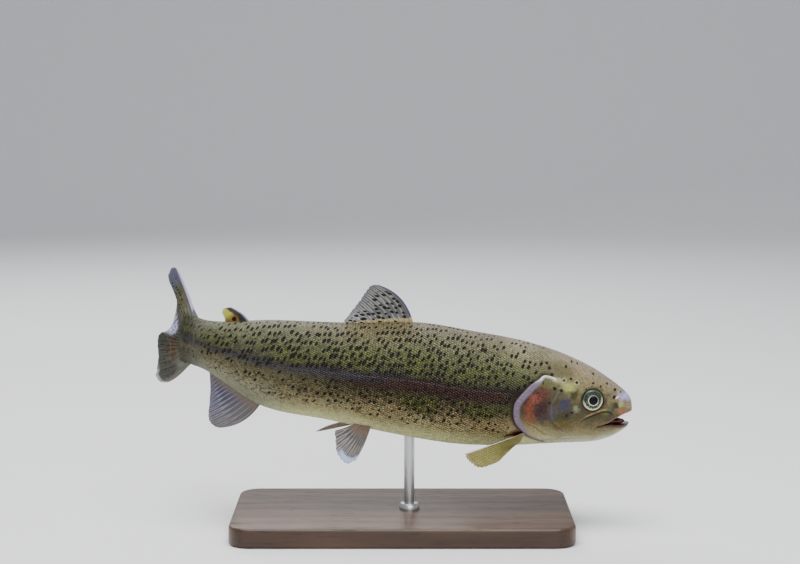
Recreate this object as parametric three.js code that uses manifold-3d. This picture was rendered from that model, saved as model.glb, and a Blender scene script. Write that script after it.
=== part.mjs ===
// A life-size rainbow trout caught in the middle of a tail beat, on a plain display stand.
// Millimetres, +Z up. The origin is the middle of the base's underside. The snout points along +X,
// the right side faces -Y, and the tail swings away towards +Y.
//
// The fish is drawn straight first, in its own coordinates: s is the distance behind the snout tip,
// y is towards the fish's left, and h is the height above the snout tip's level. Every shape then
// goes through bent(), which lays it along the curved backbone.
import * as THREE from "three";
import { ParametricGeometry } from "three/addons/geometries/ParametricGeometry.js";
import { mergeVertices } from "three/addons/utils/BufferGeometryUtils.js";
import Module from "manifold-3d";

const wasm = await Module();
wasm.setup();

// ---------------------------------------------------------------- driving dimensions
const STALK_END = 284; // where the tail stalk ends inside the root of the tail fin
const TRUNK_END = 214; // where the trunk hands over to the tail stalk
const GAP = 0.3; // parting gap between neighbouring solids
const PITCH = THREE.MathUtils.degToRad(8.3); // head-down tilt of the whole fish
const SNOUT_HEIGHT = 71; // snout tip above the floor
const SNOUT_X = 129; // snout tip ahead of the stand's middle
const AROUND = 26; // facets round the body

const BASE = { length: 190, depth: 96, height: 11, corner: 12, bevel: 1.5 };
const ROD = { radius: 3, station: 121, intoBody: 14, intoBase: 6 };

const EYE = { s: 23.8, h: 0.8, radius: 7.2, halfThickness: 4.4, proud: 2 };

const TONGUE = { s: 8.8, h: -11.3, length: 13, width: 6.6, height: 3.4, slope: -9 };

// Bends of the backbone, in degrees: the head turns a little to the left, and the tail strongly so.
const HEAD_TURN = { degrees: -1, from: 20, to: 110 };
const TAIL_TURN = { degrees: 63, from: 216, to: 256 };
const TAIL_LIFT = { rise: -6, from: 200, to: 300 };

// The body's outline: back and belly heights, half width, the level of the widest point, and how
// square the section is above and below that level (2 is an ellipse).
const stations = [
  { s: -0.8, back: 0, belly: -12.2, half: 2.6, level: -5, up: 2.2, down: 2.2 },
  { s: 1.2, back: 3.2, belly: -14, half: 5, level: -4.8, up: 2.2, down: 2.2 },
  { s: 4, back: 6, belly: -16.6, half: 6.8, level: -5, up: 2.2, down: 2.1 },
  { s: 9, back: 9.3, belly: -20.3, half: 8.7, level: -5, up: 2.3, down: 2 },
  { s: 16.5, back: 13.3, belly: -23.8, half: 10.9, level: -5, up: 2.4, down: 1.95 },
  { s: 24, back: 16.8, belly: -25.6, half: 12.7, level: -5, up: 2.4, down: 1.95 },
  { s: 35, back: 20.6, belly: -27.5, half: 14.9, level: -5.4, up: 2.3, down: 1.95 },
  { s: 48, back: 24, belly: -30, half: 16.6, level: -6, up: 2.2, down: 2 },
  { s: 66, back: 26.9, belly: -33.4, half: 17.9, level: -6, up: 2.1, down: 2.1 },
  { s: 92, back: 28.1, belly: -36.7, half: 18.7, level: -5, up: 2.1, down: 2.15 },
  { s: 125, back: 28.6, belly: -36.5, half: 18.6, level: -4.5, up: 2.05, down: 2.15 },
  { s: 166, back: 22.6, belly: -33.8, half: 16.6, level: -4, up: 2.05, down: 2.1 },
  { s: 206, back: 18.3, belly: -31.2, half: 12.4, level: -2.5, up: 2.05, down: 1.9 },
  { s: 238, back: 14.2, belly: -15.8, half: 7.8, level: 0, up: 2.1, down: 2 },
  { s: 258, back: 13.8, belly: -14.2, half: 5.4, level: 0, up: 2.1, down: 2.1 },
  { s: 276, back: 15.2, belly: -15.2, half: 2.9, level: 0, up: 2.2, down: 2.2 },
  { s: 284, back: 15.6, belly: -15.6, half: 1, level: 0, up: 2.2, down: 2.2 },
];

// ---------------------------------------------------------------- small helpers
const degrees = THREE.MathUtils.degToRad;
const mix = THREE.MathUtils.lerp;
const ramp = (value, from, to) => THREE.MathUtils.smoothstep(value, from, to);

// A value of the body's outline at s: a cubic through the stations, with the slope of their chords.
function outline(key, s) {
  const last = stations.length - 1;
  let i = 0;
  while (i < last - 1 && s > stations[i + 1].s) i += 1;
  const slope = (j) => {
    const before = stations[Math.max(j - 1, 0)];
    const after = stations[Math.min(j + 1, last)];
    return (after[key] - before[key]) / (after.s - before.s);
  };
  const [a, b] = [stations[i], stations[i + 1]];
  const span = b.s - a.s;
  const t = THREE.MathUtils.clamp((s - a.s) / span, 0, 1);
  return (
    a[key] * (1 + 2 * t) * (1 - t) ** 2 +
    b[key] * t * t * (3 - 2 * t) +
    span * t * (1 - t) * (slope(i) * (1 - t) - slope(i + 1) * t)
  );
}

// A point of the body's section at s. The angle runs from the back (0) over the left side.
function skinPoint(s, angle, grow = 0) {
  const level = outline("level", s);
  const [cos, sin] = [Math.cos(angle), Math.sin(angle)];
  const reach = cos > 0 ? outline("back", s) - level : level - outline("belly", s);
  const power = 2 / outline(cos > 0 ? "up" : "down", s);
  const y = (outline("half", s) + grow) * Math.sign(sin) * Math.abs(sin) ** power;
  const h = level + (reach + grow) * Math.sign(cos) * Math.abs(cos) ** power;
  return { y, h };
}

// ---------------------------------------------------------------- the backbone
function turnAt(s) {
  const head = HEAD_TURN.degrees * (1 - ramp(s, HEAD_TURN.from, HEAD_TURN.to));
  const tail = TAIL_TURN.degrees * ramp(s, TAIL_TURN.from, TAIL_TURN.to);
  return degrees(head + tail);
}

const spine = [{ x: 0, y: 0 }]; // one point for each millimetre behind the snout
for (let s = 1; s <= 330; s += 1) {
  const turn = turnAt(s - 0.5);
  const before = spine[s - 1];
  spine.push({ x: before.x - Math.cos(turn), y: before.y + Math.sin(turn) });
}

function bent(s, y, h, target = new THREE.Vector3()) {
  const at = THREE.MathUtils.clamp(s, 0, spine.length - 1.001);
  const i = Math.floor(at);
  const turn = turnAt(at);
  const x = mix(spine[i].x, spine[i + 1].x, at - i) - (s - at) + y * Math.sin(turn);
  const across = mix(spine[i].y, spine[i + 1].y, at - i) + y * Math.cos(turn);
  const lift = TAIL_LIFT.rise * ramp(s, TAIL_LIFT.from, TAIL_LIFT.to);
  return target.set(x, across, h + lift);
}

// ---------------------------------------------------------------- solids and geometries
// A closed geometry as a solid, with the faces that collapsed at poles and edges left out.
function solidOf(geometry) {
  geometry.deleteAttribute("normal");
  geometry.deleteAttribute("uv");
  const merged = mergeVertices(geometry, 1e-3);
  const whole = [];
  for (let i = 0; i < merged.index.count; i += 3) {
    const [a, b, c] = [0, 1, 2].map((k) => merged.index.getX(i + k));
    if (a !== b && b !== c && a !== c) whole.push([a, b, c]);
  }
  const build = (faces) =>
    new wasm.Manifold(
      new wasm.Mesh({
        numProp: 3,
        vertProperties: new Float32Array(merged.attributes.position.array),
        triVerts: new Uint32Array(faces.flat()),
      }),
    );
  const made = build(whole);
  return made.volume() > 0 ? made : build(whole.map(([a, b, c]) => [a, c, b]));
}

function geometryOf(solid) {
  const { numProp, vertProperties, triVerts } = solid.getMesh();
  const position = new Float32Array((vertProperties.length / numProp) * 3);
  for (let i = 0; i < position.length / 3; i += 1)
    position.set(vertProperties.subarray(i * numProp, i * numProp + 3), i * 3);
  const geometry = new THREE.BufferGeometry();
  geometry.setAttribute("position", new THREE.BufferAttribute(position, 3));
  geometry.setIndex(new THREE.BufferAttribute(new Uint32Array(triVerts), 1));
  const flat = geometry.toNonIndexed();
  flat.computeVertexNormals();
  return flat;
}

// A closed skin from rows of rings: point(around, row, target) for around 0..1 and whole rows.
function ringSolid(columns, rows, point) {
  const place = (u, v, target) => point(u, Math.round(v * rows), target);
  return solidOf(new ParametricGeometry(place, columns, rows));
}

// Ring spacing along the body: close on the head and the stalk, wider on the trunk.
function ringStations(from, to) {
  const rings = [from];
  while (rings.at(-1) < to) {
    const s = rings.at(-1);
    rings.push(s + (s < 66 ? 3.6 : s < 200 ? 9 : 5));
  }
  rings[rings.length - 1] = to;
  return rings;
}

// The body between two stations, grown outwards or narrowed, with flat ends.
function bodyBetween(from, to, { grow = 0, narrow = 1 } = {}) {
  const rings = ringStations(from, to);
  const rows = rings.length + 1;
  return ringSolid(AROUND, rows, (around, row, target) => {
    const s = rings[THREE.MathUtils.clamp(row - 1, 0, rings.length - 1)];
    if (row === 0 || row === rows) return bent(s, 0, outline("level", s), target);
    const { y, h } = skinPoint(s, around * 2 * Math.PI, grow);
    return bent(s, y * narrow, h, target);
  });
}

// A side-view outline moved outwards by a distance, each corner along its bisector.
function widened(corners, distance) {
  const points = corners.map(([s, h]) => new THREE.Vector2(s, h));
  const turn = Math.sign(THREE.ShapeUtils.area(points));
  const outward = (a, b) => new THREE.Vector2((b.y - a.y) * turn, (a.x - b.x) * turn).normalize();
  return points.map((point, i) => {
    const before = outward(points.at(i - 1), point);
    const after = outward(point, points[(i + 1) % points.length]);
    const bisector = before.clone().add(after).normalize();
    const stretch = 1 / Math.max(bisector.dot(after), 0.4);
    return point.clone().addScaledVector(bisector, distance * stretch);
  });
}

// A side-view outline, given as [s, h] corners, cut right across the body.
function sidePrism(corners, { from = -40, to = 40, grow = 0 } = {}) {
  const shape = new THREE.Shape(widened(corners, grow));
  const geometry = new THREE.ExtrudeGeometry(shape, {
    depth: to - from,
    bevelEnabled: false,
  });
  const position = geometry.attributes.position;
  const target = new THREE.Vector3();
  for (let i = 0; i < position.count; i += 1) {
    bent(position.getX(i), position.getZ(i) + from, position.getY(i), target);
    position.setXYZ(i, target.x, target.y, target.z);
  }
  return solidOf(geometry);
}

// A corner list made smooth: a spline through the given points, as [s, h] pairs.
function smoothOutline(corners, pieces) {
  const points = corners.map(([s, h]) => new THREE.Vector3(s, h, 0));
  const curve = new THREE.CatmullRomCurve3(points, true, "centripetal");
  return curve.getPoints(pieces).slice(0, -1).map((p) => [p.x, p.y]);
}

// ---------------------------------------------------------------- fins
// A fin is a fan of rays. root(u) and ray(u) give a straight-fish point and a vector, for u from
// the leading ray (0) to the last (1). The sheet thins from the root to the edge.
function finSolid({ root, ray, bow = 0, normal, thick = [1.6, 0.6], columns = 10, rows = 5 }) {
  const ring = 2 * (columns + 1);
  return ringSolid(ring, rows + 2, (around, row, target) => {
    const i = Math.round(around * ring) % ring;
    const front = i <= columns;
    const u = (front ? i : 2 * columns + 1 - i) / columns;
    const v = THREE.MathUtils.clamp((row - 1) / rows, 0, 1);
    const half = row === 0 || row === rows + 2 ? 0 : mix(thick[0], thick[1], v) / 2;
    const along = ray(u);
    const at = root(u).addScaledVector(along, v);
    const bulge = new THREE.Vector3().crossVectors(along, normal).setLength(1);
    at.addScaledVector(bulge, bow * (1 - u) ** 2 * Math.sin(Math.PI * v));
    at.addScaledVector(normal, front ? half : -half);
    return bent(at.x, at.y, at.z, target);
  });
}

// A value that passes through evenly spaced knots as u goes from 0 to 1.
function through(knots, u) {
  const points = knots.map((k, i) => new THREE.Vector2(i, k));
  return new THREE.SplineCurve(points).getPoint(u).y;
}

// A fin on the midline: its rays lean back by an angle and have lengths that run through knots.
function medianFin({ from, to, rootLevel, angles, lengths, bow, thick, columns, rows }) {
  return finSolid({
    root: (u) => new THREE.Vector3(mix(from, to, u), 0, rootLevel(mix(from, to, u))),
    ray: (u) => {
      const angle = degrees(through(angles, u));
      const length = through(lengths, u);
      return new THREE.Vector3(Math.cos(angle) * length, 0, Math.sin(angle) * length);
    },
    normal: new THREE.Vector3(0, 1, 0),
    bow,
    thick,
    columns,
    rows,
  });
}

// A paired fin: a short root on the flank, and tips of the leading, middle and last rays.
function pairedFin({ roots, tips, bow = 0, thick = [1.5, 0.6] }) {
  const [rootFrom, rootTo] = roots.map((p) => new THREE.Vector3(...p));
  const tipPoints = tips.map((p) => new THREE.Vector3(...p));
  const tipCurve = new THREE.CatmullRomCurve3(tipPoints, false, "centripetal");
  const root = (u) => rootFrom.clone().lerp(rootTo, u);
  const ray = (u) => tipCurve.getPoint(u).sub(root(u));
  const normal = new THREE.Vector3().crossVectors(ray(0), ray(1)).normalize();
  return finSolid({ root, ray, normal, bow, thick, columns: 9, rows: 4 });
}

const back = (s) => outline("back", s);
const belly = (s) => outline("belly", s);
const SUNK = 4; // how far a fin's root reaches into the body before it is cut flush

const fins = {
  dorsal_fin: medianFin({
    from: 127,
    to: 160,
    rootLevel: (s) => back(s) - SUNK,
    angles: [39, 42, 46, 50, 55],
    lengths: [36, 28, 19.5, 12, 7],
    bow: 5.5,
  }),
  adipose_fin: medianFin({
    from: 216,
    to: 231,
    rootLevel: (s) => back(s) - SUNK,
    angles: [30, 36, 45, 60],
    lengths: [17, 13, 9.5, 6],
    bow: 2.4,
    thick: [3, 1.2],
    columns: 8,
    rows: 4,
  }),
  anal_fin: medianFin({
    from: 203,
    to: 233,
    rootLevel: (s) => belly(s) + SUNK,
    angles: [-37, -42, -46, -52, -60],
    lengths: [31.5, 28, 23, 17, 10.5],
    bow: -3,
  }),
  caudal_fin: finSolid({
    root: (u) => new THREE.Vector3(280 - 18 * Math.abs(2 * u - 1) ** 4, 0, 13.5 * (1 - 2 * u)),
    ray: (u) => {
      const spread = 1 - 2 * u;
      const angle = degrees(22 * spread + 5 * Math.sign(spread) * spread ** 2);
      const length = through([52.5, 43, 34, 28, 26, 28, 34, 42, 48], u);
      return new THREE.Vector3(Math.cos(angle) * length, 0, Math.sin(angle) * length);
    },
    normal: new THREE.Vector3(0, 1, 0),
    thick: [2.4, 0.6],
    columns: 18,
    rows: 5,
  }),
  pectoral_fin_right: pairedFin({
    roots: [[54, -9.5, -23], [59, -7, -29]],
    tips: [[88.5, -25, -39], [85, -25, -42.5], [76, -21, -44], [69, -15, -39.5]],
  }),
  pectoral_fin_left: pairedFin({
    roots: [[54, 9.5, -23], [59, 7, -29]],
    tips: [[88.5, 25, -39], [85, 25, -42.5], [76, 21, -44], [69, 15, -39.5]],
  }),
  pelvic_fin_right: pairedFin({
    roots: [[143, -6.5, -31], [150, -5, -31]],
    tips: [[148, -17, -49], [153.5, -18, -53], [160, -15, -48], [163, -9, -36.5]],
  }),
  pelvic_fin_left: pairedFin({
    roots: [[143, 6.5, -31], [150, 5, -31]],
    tips: [[162, 23, -44], [171, 21, -45.5], [172, 13, -42], [166, 7, -37]],
  }),
};

// ---------------------------------------------------------------- the head's pieces
const headEdge = smoothOutline(
  [[-14, -60], [-14, 40], [58, 44], [57, 26], [53.6, 14], [62, 4], [67, -10.5], [63, -21],
    [57, -27], [52, -34], [47, -60]],
  44,
);
const coverEdge = smoothOutline(
  [[44, 8], [52.5, 11.4], [61.6, 3], [66.4, -10.5], [62, -20.5], [56, -26], [42, -23], [39, -8]],
  28,
);
const jawEdge = [
  [-6, -9.6], [1, -11], [3.5, -12], [8, -12.4], [13, -12.8], [18.5, -14.4], [24, -17], [30, -19],
  [31, -24], [29.5, -40], [-6, -40],
];
const gape = [
  [-6, -2.6], [0.4, -4.1], [5, -5.5], [10.5, -7.2], [14, -10.2], [18.5, -14.2], [13, -12.8],
  [8, -12.4], [3.5, -12], [1, -11], [-6, -9.6],
];

const body = bodyBetween(-0.8, TRUNK_END - GAP / 2);
const headRegion = sidePrism(headEdge);
const headWithJaw = body.intersect(headRegion);

// The gill covers are the outer few millimetres of the cheek, as a plate on each side.
const core = bodyBetween(-2, 80, { narrow: 0.8, grow: 3 });
const coverPlates = headWithJaw.intersect(sidePrism(coverEdge)).subtract(core);
const coverRoom = sidePrism(coverEdge, { grow: GAP }).subtract(
  bodyBetween(-2, 80, { narrow: 0.78, grow: 3 - GAP }),
);
const rightHalf = solidOf(new THREE.BoxGeometry(400, 60, 200).translate(-100, -30.5, 0));
const leftHalf = solidOf(new THREE.BoxGeometry(400, 60, 200).translate(-100, 30.5, 0));

function eyeball(side, grow) {
  const sphere = new THREE.SphereGeometry(1, 18, 10);
  const radius = EYE.radius + grow;
  sphere.scale(radius, EYE.halfThickness + grow, radius);
  const out = outline("half", EYE.s) + EYE.proud - EYE.halfThickness;
  const centre = bent(EYE.s, side * out, EYE.h);
  sphere.translate(centre.x, centre.y, centre.z);
  return solidOf(sphere);
}

function tongueShape(grow) {
  const { s, h, length, width, height, slope } = TONGUE;
  const sphere = new THREE.SphereGeometry(1, 12, 6);
  sphere.scale(length / 2 + grow, width / 2 + grow, height / 2 + grow);
  return solidOf(sphere.rotateY(degrees(slope)).translate(-s, 0, h));
}

const jaw = headWithJaw
  .intersect(sidePrism(jawEdge))
  .subtract(coverRoom)
  .subtract(tongueShape(GAP));
const head = headWithJaw
  .subtract(sidePrism(jawEdge, { grow: GAP }))
  .subtract(sidePrism(gape))
  .subtract(tongueShape(GAP))
  .subtract(coverRoom)
  .subtract(eyeball(-1, GAP))
  .subtract(eyeball(1, GAP));

// ---------------------------------------------------------------- trunk, stalk and stand
const tilt = new THREE.Matrix4()
  .makeRotationY(PITCH)
  .setPosition(SNOUT_X, 0, SNOUT_HEIGHT);
const toFish = tilt.clone().invert();

function rodGeometry(bottom, top, radius) {
  const rod = new THREE.CylinderGeometry(radius, radius, top - bottom, 18);
  return rod.rotateX(Math.PI / 2).translate(rodFoot.x, rodFoot.y, (top + bottom) / 2);
}

const rodFoot = bent(ROD.station, 0, belly(ROD.station)).applyMatrix4(tilt);
const rodTop = rodFoot.z + ROD.intoBody;
const rodBottom = BASE.height - ROD.intoBase;
const rodHole = solidOf(
  rodGeometry(rodBottom, rodTop + GAP, ROD.radius + GAP).applyMatrix4(toFish),
);

const trunk = body
  .subtract(sidePrism(headEdge, { grow: GAP }))
  .subtract(rodHole);
const stalk = bodyBetween(TRUNK_END + GAP / 2, STALK_END);

function baseGeometry() {
  const { length, depth, height, corner, bevel } = BASE;
  const [x, y] = [length / 2 - bevel, depth / 2 - bevel];
  const shape = new THREE.Shape();
  shape.moveTo(-x + corner, -y);
  shape.lineTo(x - corner, -y).absarc(x - corner, -y + corner, corner, -Math.PI / 2, 0);
  shape.lineTo(x, y - corner).absarc(x - corner, y - corner, corner, 0, Math.PI / 2);
  shape.lineTo(-x + corner, y).absarc(-x + corner, y - corner, corner, Math.PI / 2, Math.PI);
  shape.lineTo(-x, -y + corner);
  shape.absarc(-x + corner, -y + corner, corner, Math.PI, Math.PI * 1.5);
  return new THREE.ExtrudeGeometry(shape, {
    depth: height - 2 * bevel,
    bevelThickness: bevel,
    bevelSize: bevel,
    bevelSegments: 2,
    curveSegments: 5,
  }).translate(0, 0, bevel);
}

const baseHole = solidOf(rodGeometry(rodBottom - GAP, BASE.height + 5, ROD.radius + GAP));
const base = solidOf(baseGeometry()).subtract(baseHole);

// ---------------------------------------------------------------- the scene graph
const finish = (color, roughness, metalness = 0) =>
  new THREE.MeshStandardMaterial({ color, roughness, metalness });
const materials = {
  flank: finish(0x8b8a5f, 0.4),
  cheek: finish(0x9a7b5c, 0.35),
  spottedFin: finish(0x8d8e7c, 0.5),
  clearFin: finish(0xa79f8e, 0.5),
  eye: finish(0x23231d, 0.08),
  mouth: finish(0x5a1d18, 0.35),
  wood: finish(0x3c2a1e, 0.5),
  steel: finish(0xb9bbbd, 0.3, 1),
};

const part = new THREE.Group();
const fish = new THREE.Group();
fish.rotation.y = PITCH;
fish.position.set(SNOUT_X, 0, SNOUT_HEIGHT);
part.add(fish);

function addMesh(parent, name, solid, material) {
  const mesh = new THREE.Mesh(geometryOf(solid), material);
  mesh.name = name;
  parent.add(mesh);
}

addMesh(fish, "head", head, materials.flank);
addMesh(fish, "lower_jaw", jaw, materials.flank);
addMesh(fish, "tongue", tongueShape(0), materials.mouth);
addMesh(fish, "trunk", trunk, materials.flank);
addMesh(fish, "tail_stalk", stalk, materials.flank);
for (const [side, name, half] of [[-1, "right", rightHalf], [1, "left", leftHalf]]) {
  addMesh(fish, `gill_cover_${name}`, coverPlates.intersect(half), materials.cheek);
  addMesh(fish, `eye_${name}`, eyeball(side, 0), materials.eye);
}

// A fin is cut flush with the skin, a gap above it.
const bodyRoom = bodyBetween(-0.8, TRUNK_END + 1, { grow: GAP })
  .add(bodyBetween(TRUNK_END - 1, STALK_END, { grow: GAP }));
for (const [name, fin] of Object.entries(fins)) {
  const spotted = ["dorsal_fin", "adipose_fin", "caudal_fin"].includes(name);
  const pieces = fin.subtract(bodyRoom).decompose();
  const largest = pieces.reduce((a, b) => (a.volume() > b.volume() ? a : b));
  addMesh(fish, name, largest, spotted ? materials.spottedFin : materials.clearFin);
}

addMesh(part, "stand_base", base, materials.wood);
addMesh(
  part,
  "stand_rod",
  solidOf(rodGeometry(rodBottom, rodTop, ROD.radius)),
  materials.steel,
);

export default part;
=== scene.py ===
# %% [markdown]
# # A rainbow trout on a display stand
# The real thing is a live trout, about a third of a metre long, caught in the middle of a tail
# beat. A plain wooden base and one steel rod carry it. The imported model already holds its true
# size and shape as plain solids, so everything here is built round those solids. The looks need
# three layers that solids can't give: one continuous skin, a coat of nearly twenty thousand
# overlapping scales, and fins with real rays.

import functools
import math

import bmesh
import bpy
import numpy as np
from mathutils import Matrix, Vector


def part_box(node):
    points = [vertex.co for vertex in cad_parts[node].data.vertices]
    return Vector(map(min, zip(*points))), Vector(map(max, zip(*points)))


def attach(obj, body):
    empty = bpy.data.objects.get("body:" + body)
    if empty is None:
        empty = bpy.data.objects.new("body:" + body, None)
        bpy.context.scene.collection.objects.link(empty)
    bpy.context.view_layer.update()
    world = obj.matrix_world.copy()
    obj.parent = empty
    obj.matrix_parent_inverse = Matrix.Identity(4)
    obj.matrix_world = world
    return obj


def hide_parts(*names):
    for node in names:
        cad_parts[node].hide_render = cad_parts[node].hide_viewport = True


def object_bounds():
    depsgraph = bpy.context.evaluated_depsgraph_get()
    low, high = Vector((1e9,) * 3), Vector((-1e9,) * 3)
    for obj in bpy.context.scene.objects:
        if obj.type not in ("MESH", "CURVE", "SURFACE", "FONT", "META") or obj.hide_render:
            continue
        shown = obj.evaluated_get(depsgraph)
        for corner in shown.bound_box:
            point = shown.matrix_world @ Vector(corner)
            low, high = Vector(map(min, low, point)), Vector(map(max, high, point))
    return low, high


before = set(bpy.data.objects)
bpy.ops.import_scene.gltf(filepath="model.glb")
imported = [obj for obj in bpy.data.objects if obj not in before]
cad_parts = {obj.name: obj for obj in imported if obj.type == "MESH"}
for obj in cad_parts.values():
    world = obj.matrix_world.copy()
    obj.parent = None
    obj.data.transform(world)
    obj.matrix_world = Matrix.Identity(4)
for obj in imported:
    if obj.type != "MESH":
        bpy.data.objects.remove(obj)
BODY = "root"
cad_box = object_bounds()
print("nodes:", len(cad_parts), "box:", [tuple(round(c, 3) for c in corner) for corner in cad_box])

# %% [markdown]
# ## The straight fish
# A bent fish is hard to measure, so it is drawn straight first. In these straight coordinates s is
# the distance behind the snout tip, y points to the fish's left and h is the height above the
# snout tip, all in millimetres. The body could be sculpted by hand, but a section that changes
# along a few named stations keeps the skin, the scales and the markings on one common shape.

# %% The body's outline
MM = 0.001  # metres in a millimetre
NOSE = -0.8
TAIL_END = 284.0
STATIONS = {
    "s": (-0.8, 1.2, 4, 9, 16.5, 24, 35, 48, 66, 92, 125, 166, 206, 238, 258, 276, 284),
    "back": (0, 3.2, 6, 9.3, 13.3, 16.8, 20.6, 24, 26.9, 28.1, 28.6, 22.6, 18.3, 14.2, 13.8, 15.2, 15.6),
    "belly": (-12.2, -14, -16.6, -20.3, -23.8, -25.6, -27.5, -30, -33.4, -36.7, -36.5, -33.8, -31.2,
              -15.8, -14.2, -15.2, -15.6),
    "half": (2.6, 5, 6.8, 8.7, 10.9, 12.7, 14.9, 16.6, 17.9, 18.7, 18.6, 16.6, 12.4, 7.8, 5.4, 2.9, 1),
    "level": (-5, -4.8, -5, -5, -5, -5, -5.4, -6, -6, -5, -4.5, -4, -2.5, 0, 0, 0, 0),
    "up": (2.2, 2.2, 2.2, 2.3, 2.4, 2.4, 2.3, 2.2, 2.1, 2.1, 2.05, 2.05, 2.05, 2.1, 2.1, 2.2, 2.2),
    "down": (2.2, 2.2, 2.1, 2, 1.95, 1.95, 1.95, 2, 2.1, 2.15, 2.15, 2.1, 1.9, 2, 2.1, 2.2, 2.2),
}


def ramp(value, start, end):
    """0 before start, 1 after end, and a smooth rise between them."""
    t = np.clip((np.asarray(value, float) - start) / (end - start), 0, 1)
    return t * t * (3 - 2 * t)


def mix(a, b, t):
    return a + (b - a) * t


def hermite(knots, values, at):
    """A smooth curve through values at knots, with the slope of their chords."""
    knots = np.asarray(knots, float)
    values = np.asarray(values, float)
    at = np.asarray(at, float)
    last = len(knots) - 1
    before = np.maximum(np.arange(last + 1) - 1, 0)
    after = np.minimum(np.arange(last + 1) + 1, last)
    slopes = (values[after] - values[before]).T / (knots[after] - knots[before])
    slopes = slopes.T
    i = np.clip(np.searchsorted(knots, at) - 1, 0, last - 1)
    span = knots[i + 1] - knots[i]
    t = np.clip((at - knots[i]) / span, 0, 1)
    if values.ndim > 1:
        span = span[..., None]
        t = t[..., None]
    return (
        values[i] * (1 + 2 * t) * (1 - t) ** 2
        + values[i + 1] * t * t * (3 - 2 * t)
        + span * t * (1 - t) * (slopes[i] * (1 - t) - slopes[i + 1] * t)
    )


def outline(key, s):
    return hermite(STATIONS["s"], STATIONS[key], s)


NOSE_ROUND = 2.8  # millimetres over which the blunt snout is rounded
NOSE_POWER = 2.4  # 2 would round it as a circle does, and more is blunter


def nose_cap(s):
    """Rounds the blunt front of the outline to a point, over its first few millimetres."""
    t = np.clip((np.asarray(s, float) - NOSE) / NOSE_ROUND, 0, 1)
    return np.maximum((1 - (1 - t) ** NOSE_POWER) ** (1 / NOSE_POWER), 1e-3)


def reach_of(s, level, upper):
    """How far the outline stands above its widest level, or below it."""
    return np.where(upper, outline("back", s) - level, level - outline("belly", s))


def fullness(s, upper):
    """The power that rounds a section: 2 is an oval, and more is fuller at the shoulders."""
    return np.where(upper, outline("up", s), outline("down", s))


def height_share(s, h):
    """0 at the ridge of the back and 1 at the belly line."""
    back = outline("back", s)
    return (back - h) / (back - outline("belly", s))


def section(s, angle, grow=0.0):
    """A point (y, h) of the body's section; the angle runs from the back over the left side."""
    level = outline("level", s)
    cos, sin = np.cos(angle), np.sin(angle)
    upper = cos > 0
    reach = reach_of(s, level, upper)
    power = 2 / fullness(s, upper)
    cap = nose_cap(s)
    y = (outline("half", s) * cap + grow) * np.sign(sin) * np.abs(sin) ** power
    h = level + (reach * cap + grow) * np.sign(cos) * np.abs(cos) ** power
    return y, h


def angle_of(s, y, h):
    """The section's angle for a straight point on or near the skin, negative on the right side."""
    level = outline("level", s)
    upper = h > level
    cap = nose_cap(s)
    reach = reach_of(s, level, upper) * cap
    bulge = fullness(s, upper) / 2
    across = np.abs(y / (outline("half", s) * cap)) ** bulge
    along = np.abs((h - level) / reach) ** bulge * np.sign(h - level)
    return np.arctan2(across, along) * np.where(y < 0, -1, 1)


print("section at s=100:", [round(float(v), 1) for v in section(100, math.pi / 2)])

# %% [markdown]
# ## Measuring round the body
# Scales, spots and the gill rim are laid out over the surface, not in a side view, or they would
# squash together towards the back and belly. So the length round each section is measured once
# and kept in a table: "arc" counts millimetres down from the ridge of the back, and "wrap" counts
# them up from the body's widest level.

# %% Arc lengths round the sections
TABLE_S = np.linspace(NOSE, TAIL_END, 571)
TABLE_ANGLES = np.linspace(0, math.pi, 361)


def arc_tables():
    """Arc length for (s, angle), and the angle for (s, share of the half girth)."""
    stations, angles = np.meshgrid(TABLE_S, TABLE_ANGLES, indexing="ij")
    y, h = section(stations, angles)
    steps = np.hypot(np.diff(y, axis=1), np.diff(h, axis=1))
    arcs = np.concatenate([np.zeros((len(TABLE_S), 1)), np.cumsum(steps, axis=1)], axis=1)
    shares = np.linspace(0, 1, 241)
    inverse = [np.interp(shares * row[-1], row, TABLE_ANGLES) for row in arcs]
    return arcs, np.array(inverse)


ARCS, SHARE_ANGLES = arc_tables()


def lookup(table, s, share):
    """Reads a table over s and 0..1, with straight lines between its entries."""
    s, share = np.broadcast_arrays(np.asarray(s, float), np.asarray(share, float))
    row = np.clip((s - NOSE) / (TAIL_END - NOSE), 0, 1) * (table.shape[0] - 1.001)
    column = np.clip(share, 0, 1) * (table.shape[1] - 1.001)
    i, j = row.astype(int), column.astype(int)
    a, b = row - i, column - j
    near = mix(table[i, j], table[i, j + 1], b)
    far = mix(table[i + 1, j], table[i + 1, j + 1], b)
    return mix(near, far, a)


def arc_of(s, angle):
    return lookup(ARCS, s, np.abs(angle) / math.pi)


def half_girth(s):
    return lookup(ARCS, s, 1.0)


def wrap_of(s, angle):
    """Millimetres round the body above the widest level."""
    return lookup(ARCS, s, 0.5) - arc_of(s, angle)


def angle_at(s, share):
    """The angle at a share of the half girth: 0 is the ridge, 1 and -1 meet at the belly."""
    return lookup(SHARE_ANGLES, s, np.abs(share)) * np.where(np.asarray(share) < 0, -1, 1)


print("girth at s=100:", round(float(2 * half_girth(100)), 1), "mm")

# %% [markdown]
# ## Bending and placing
# The backbone turns a degree at the head and sharply at the tail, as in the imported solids, and the
# whole fish tips head-down above its stand. Bending could be a Simple Deform or a curve modifier,
# but one function that takes straight millimetres and gives metres in the shared frame bends every
# piece alike, and leaves each finished object at the origin.

# %% From straight millimetres to the shared frame
HEAD_TURN = (-1, 20, 110)  # degrees, from s, to s
TAIL_TURN = (63, 216, 256)
TAIL_LIFT = (-6, 200, 300)  # millimetres, from s, to s
PITCH = math.radians(8.3)
SNOUT_AT = (129.0, 71.0)  # x and z of the snout tip
SPINE_LENGTH = 330


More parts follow.
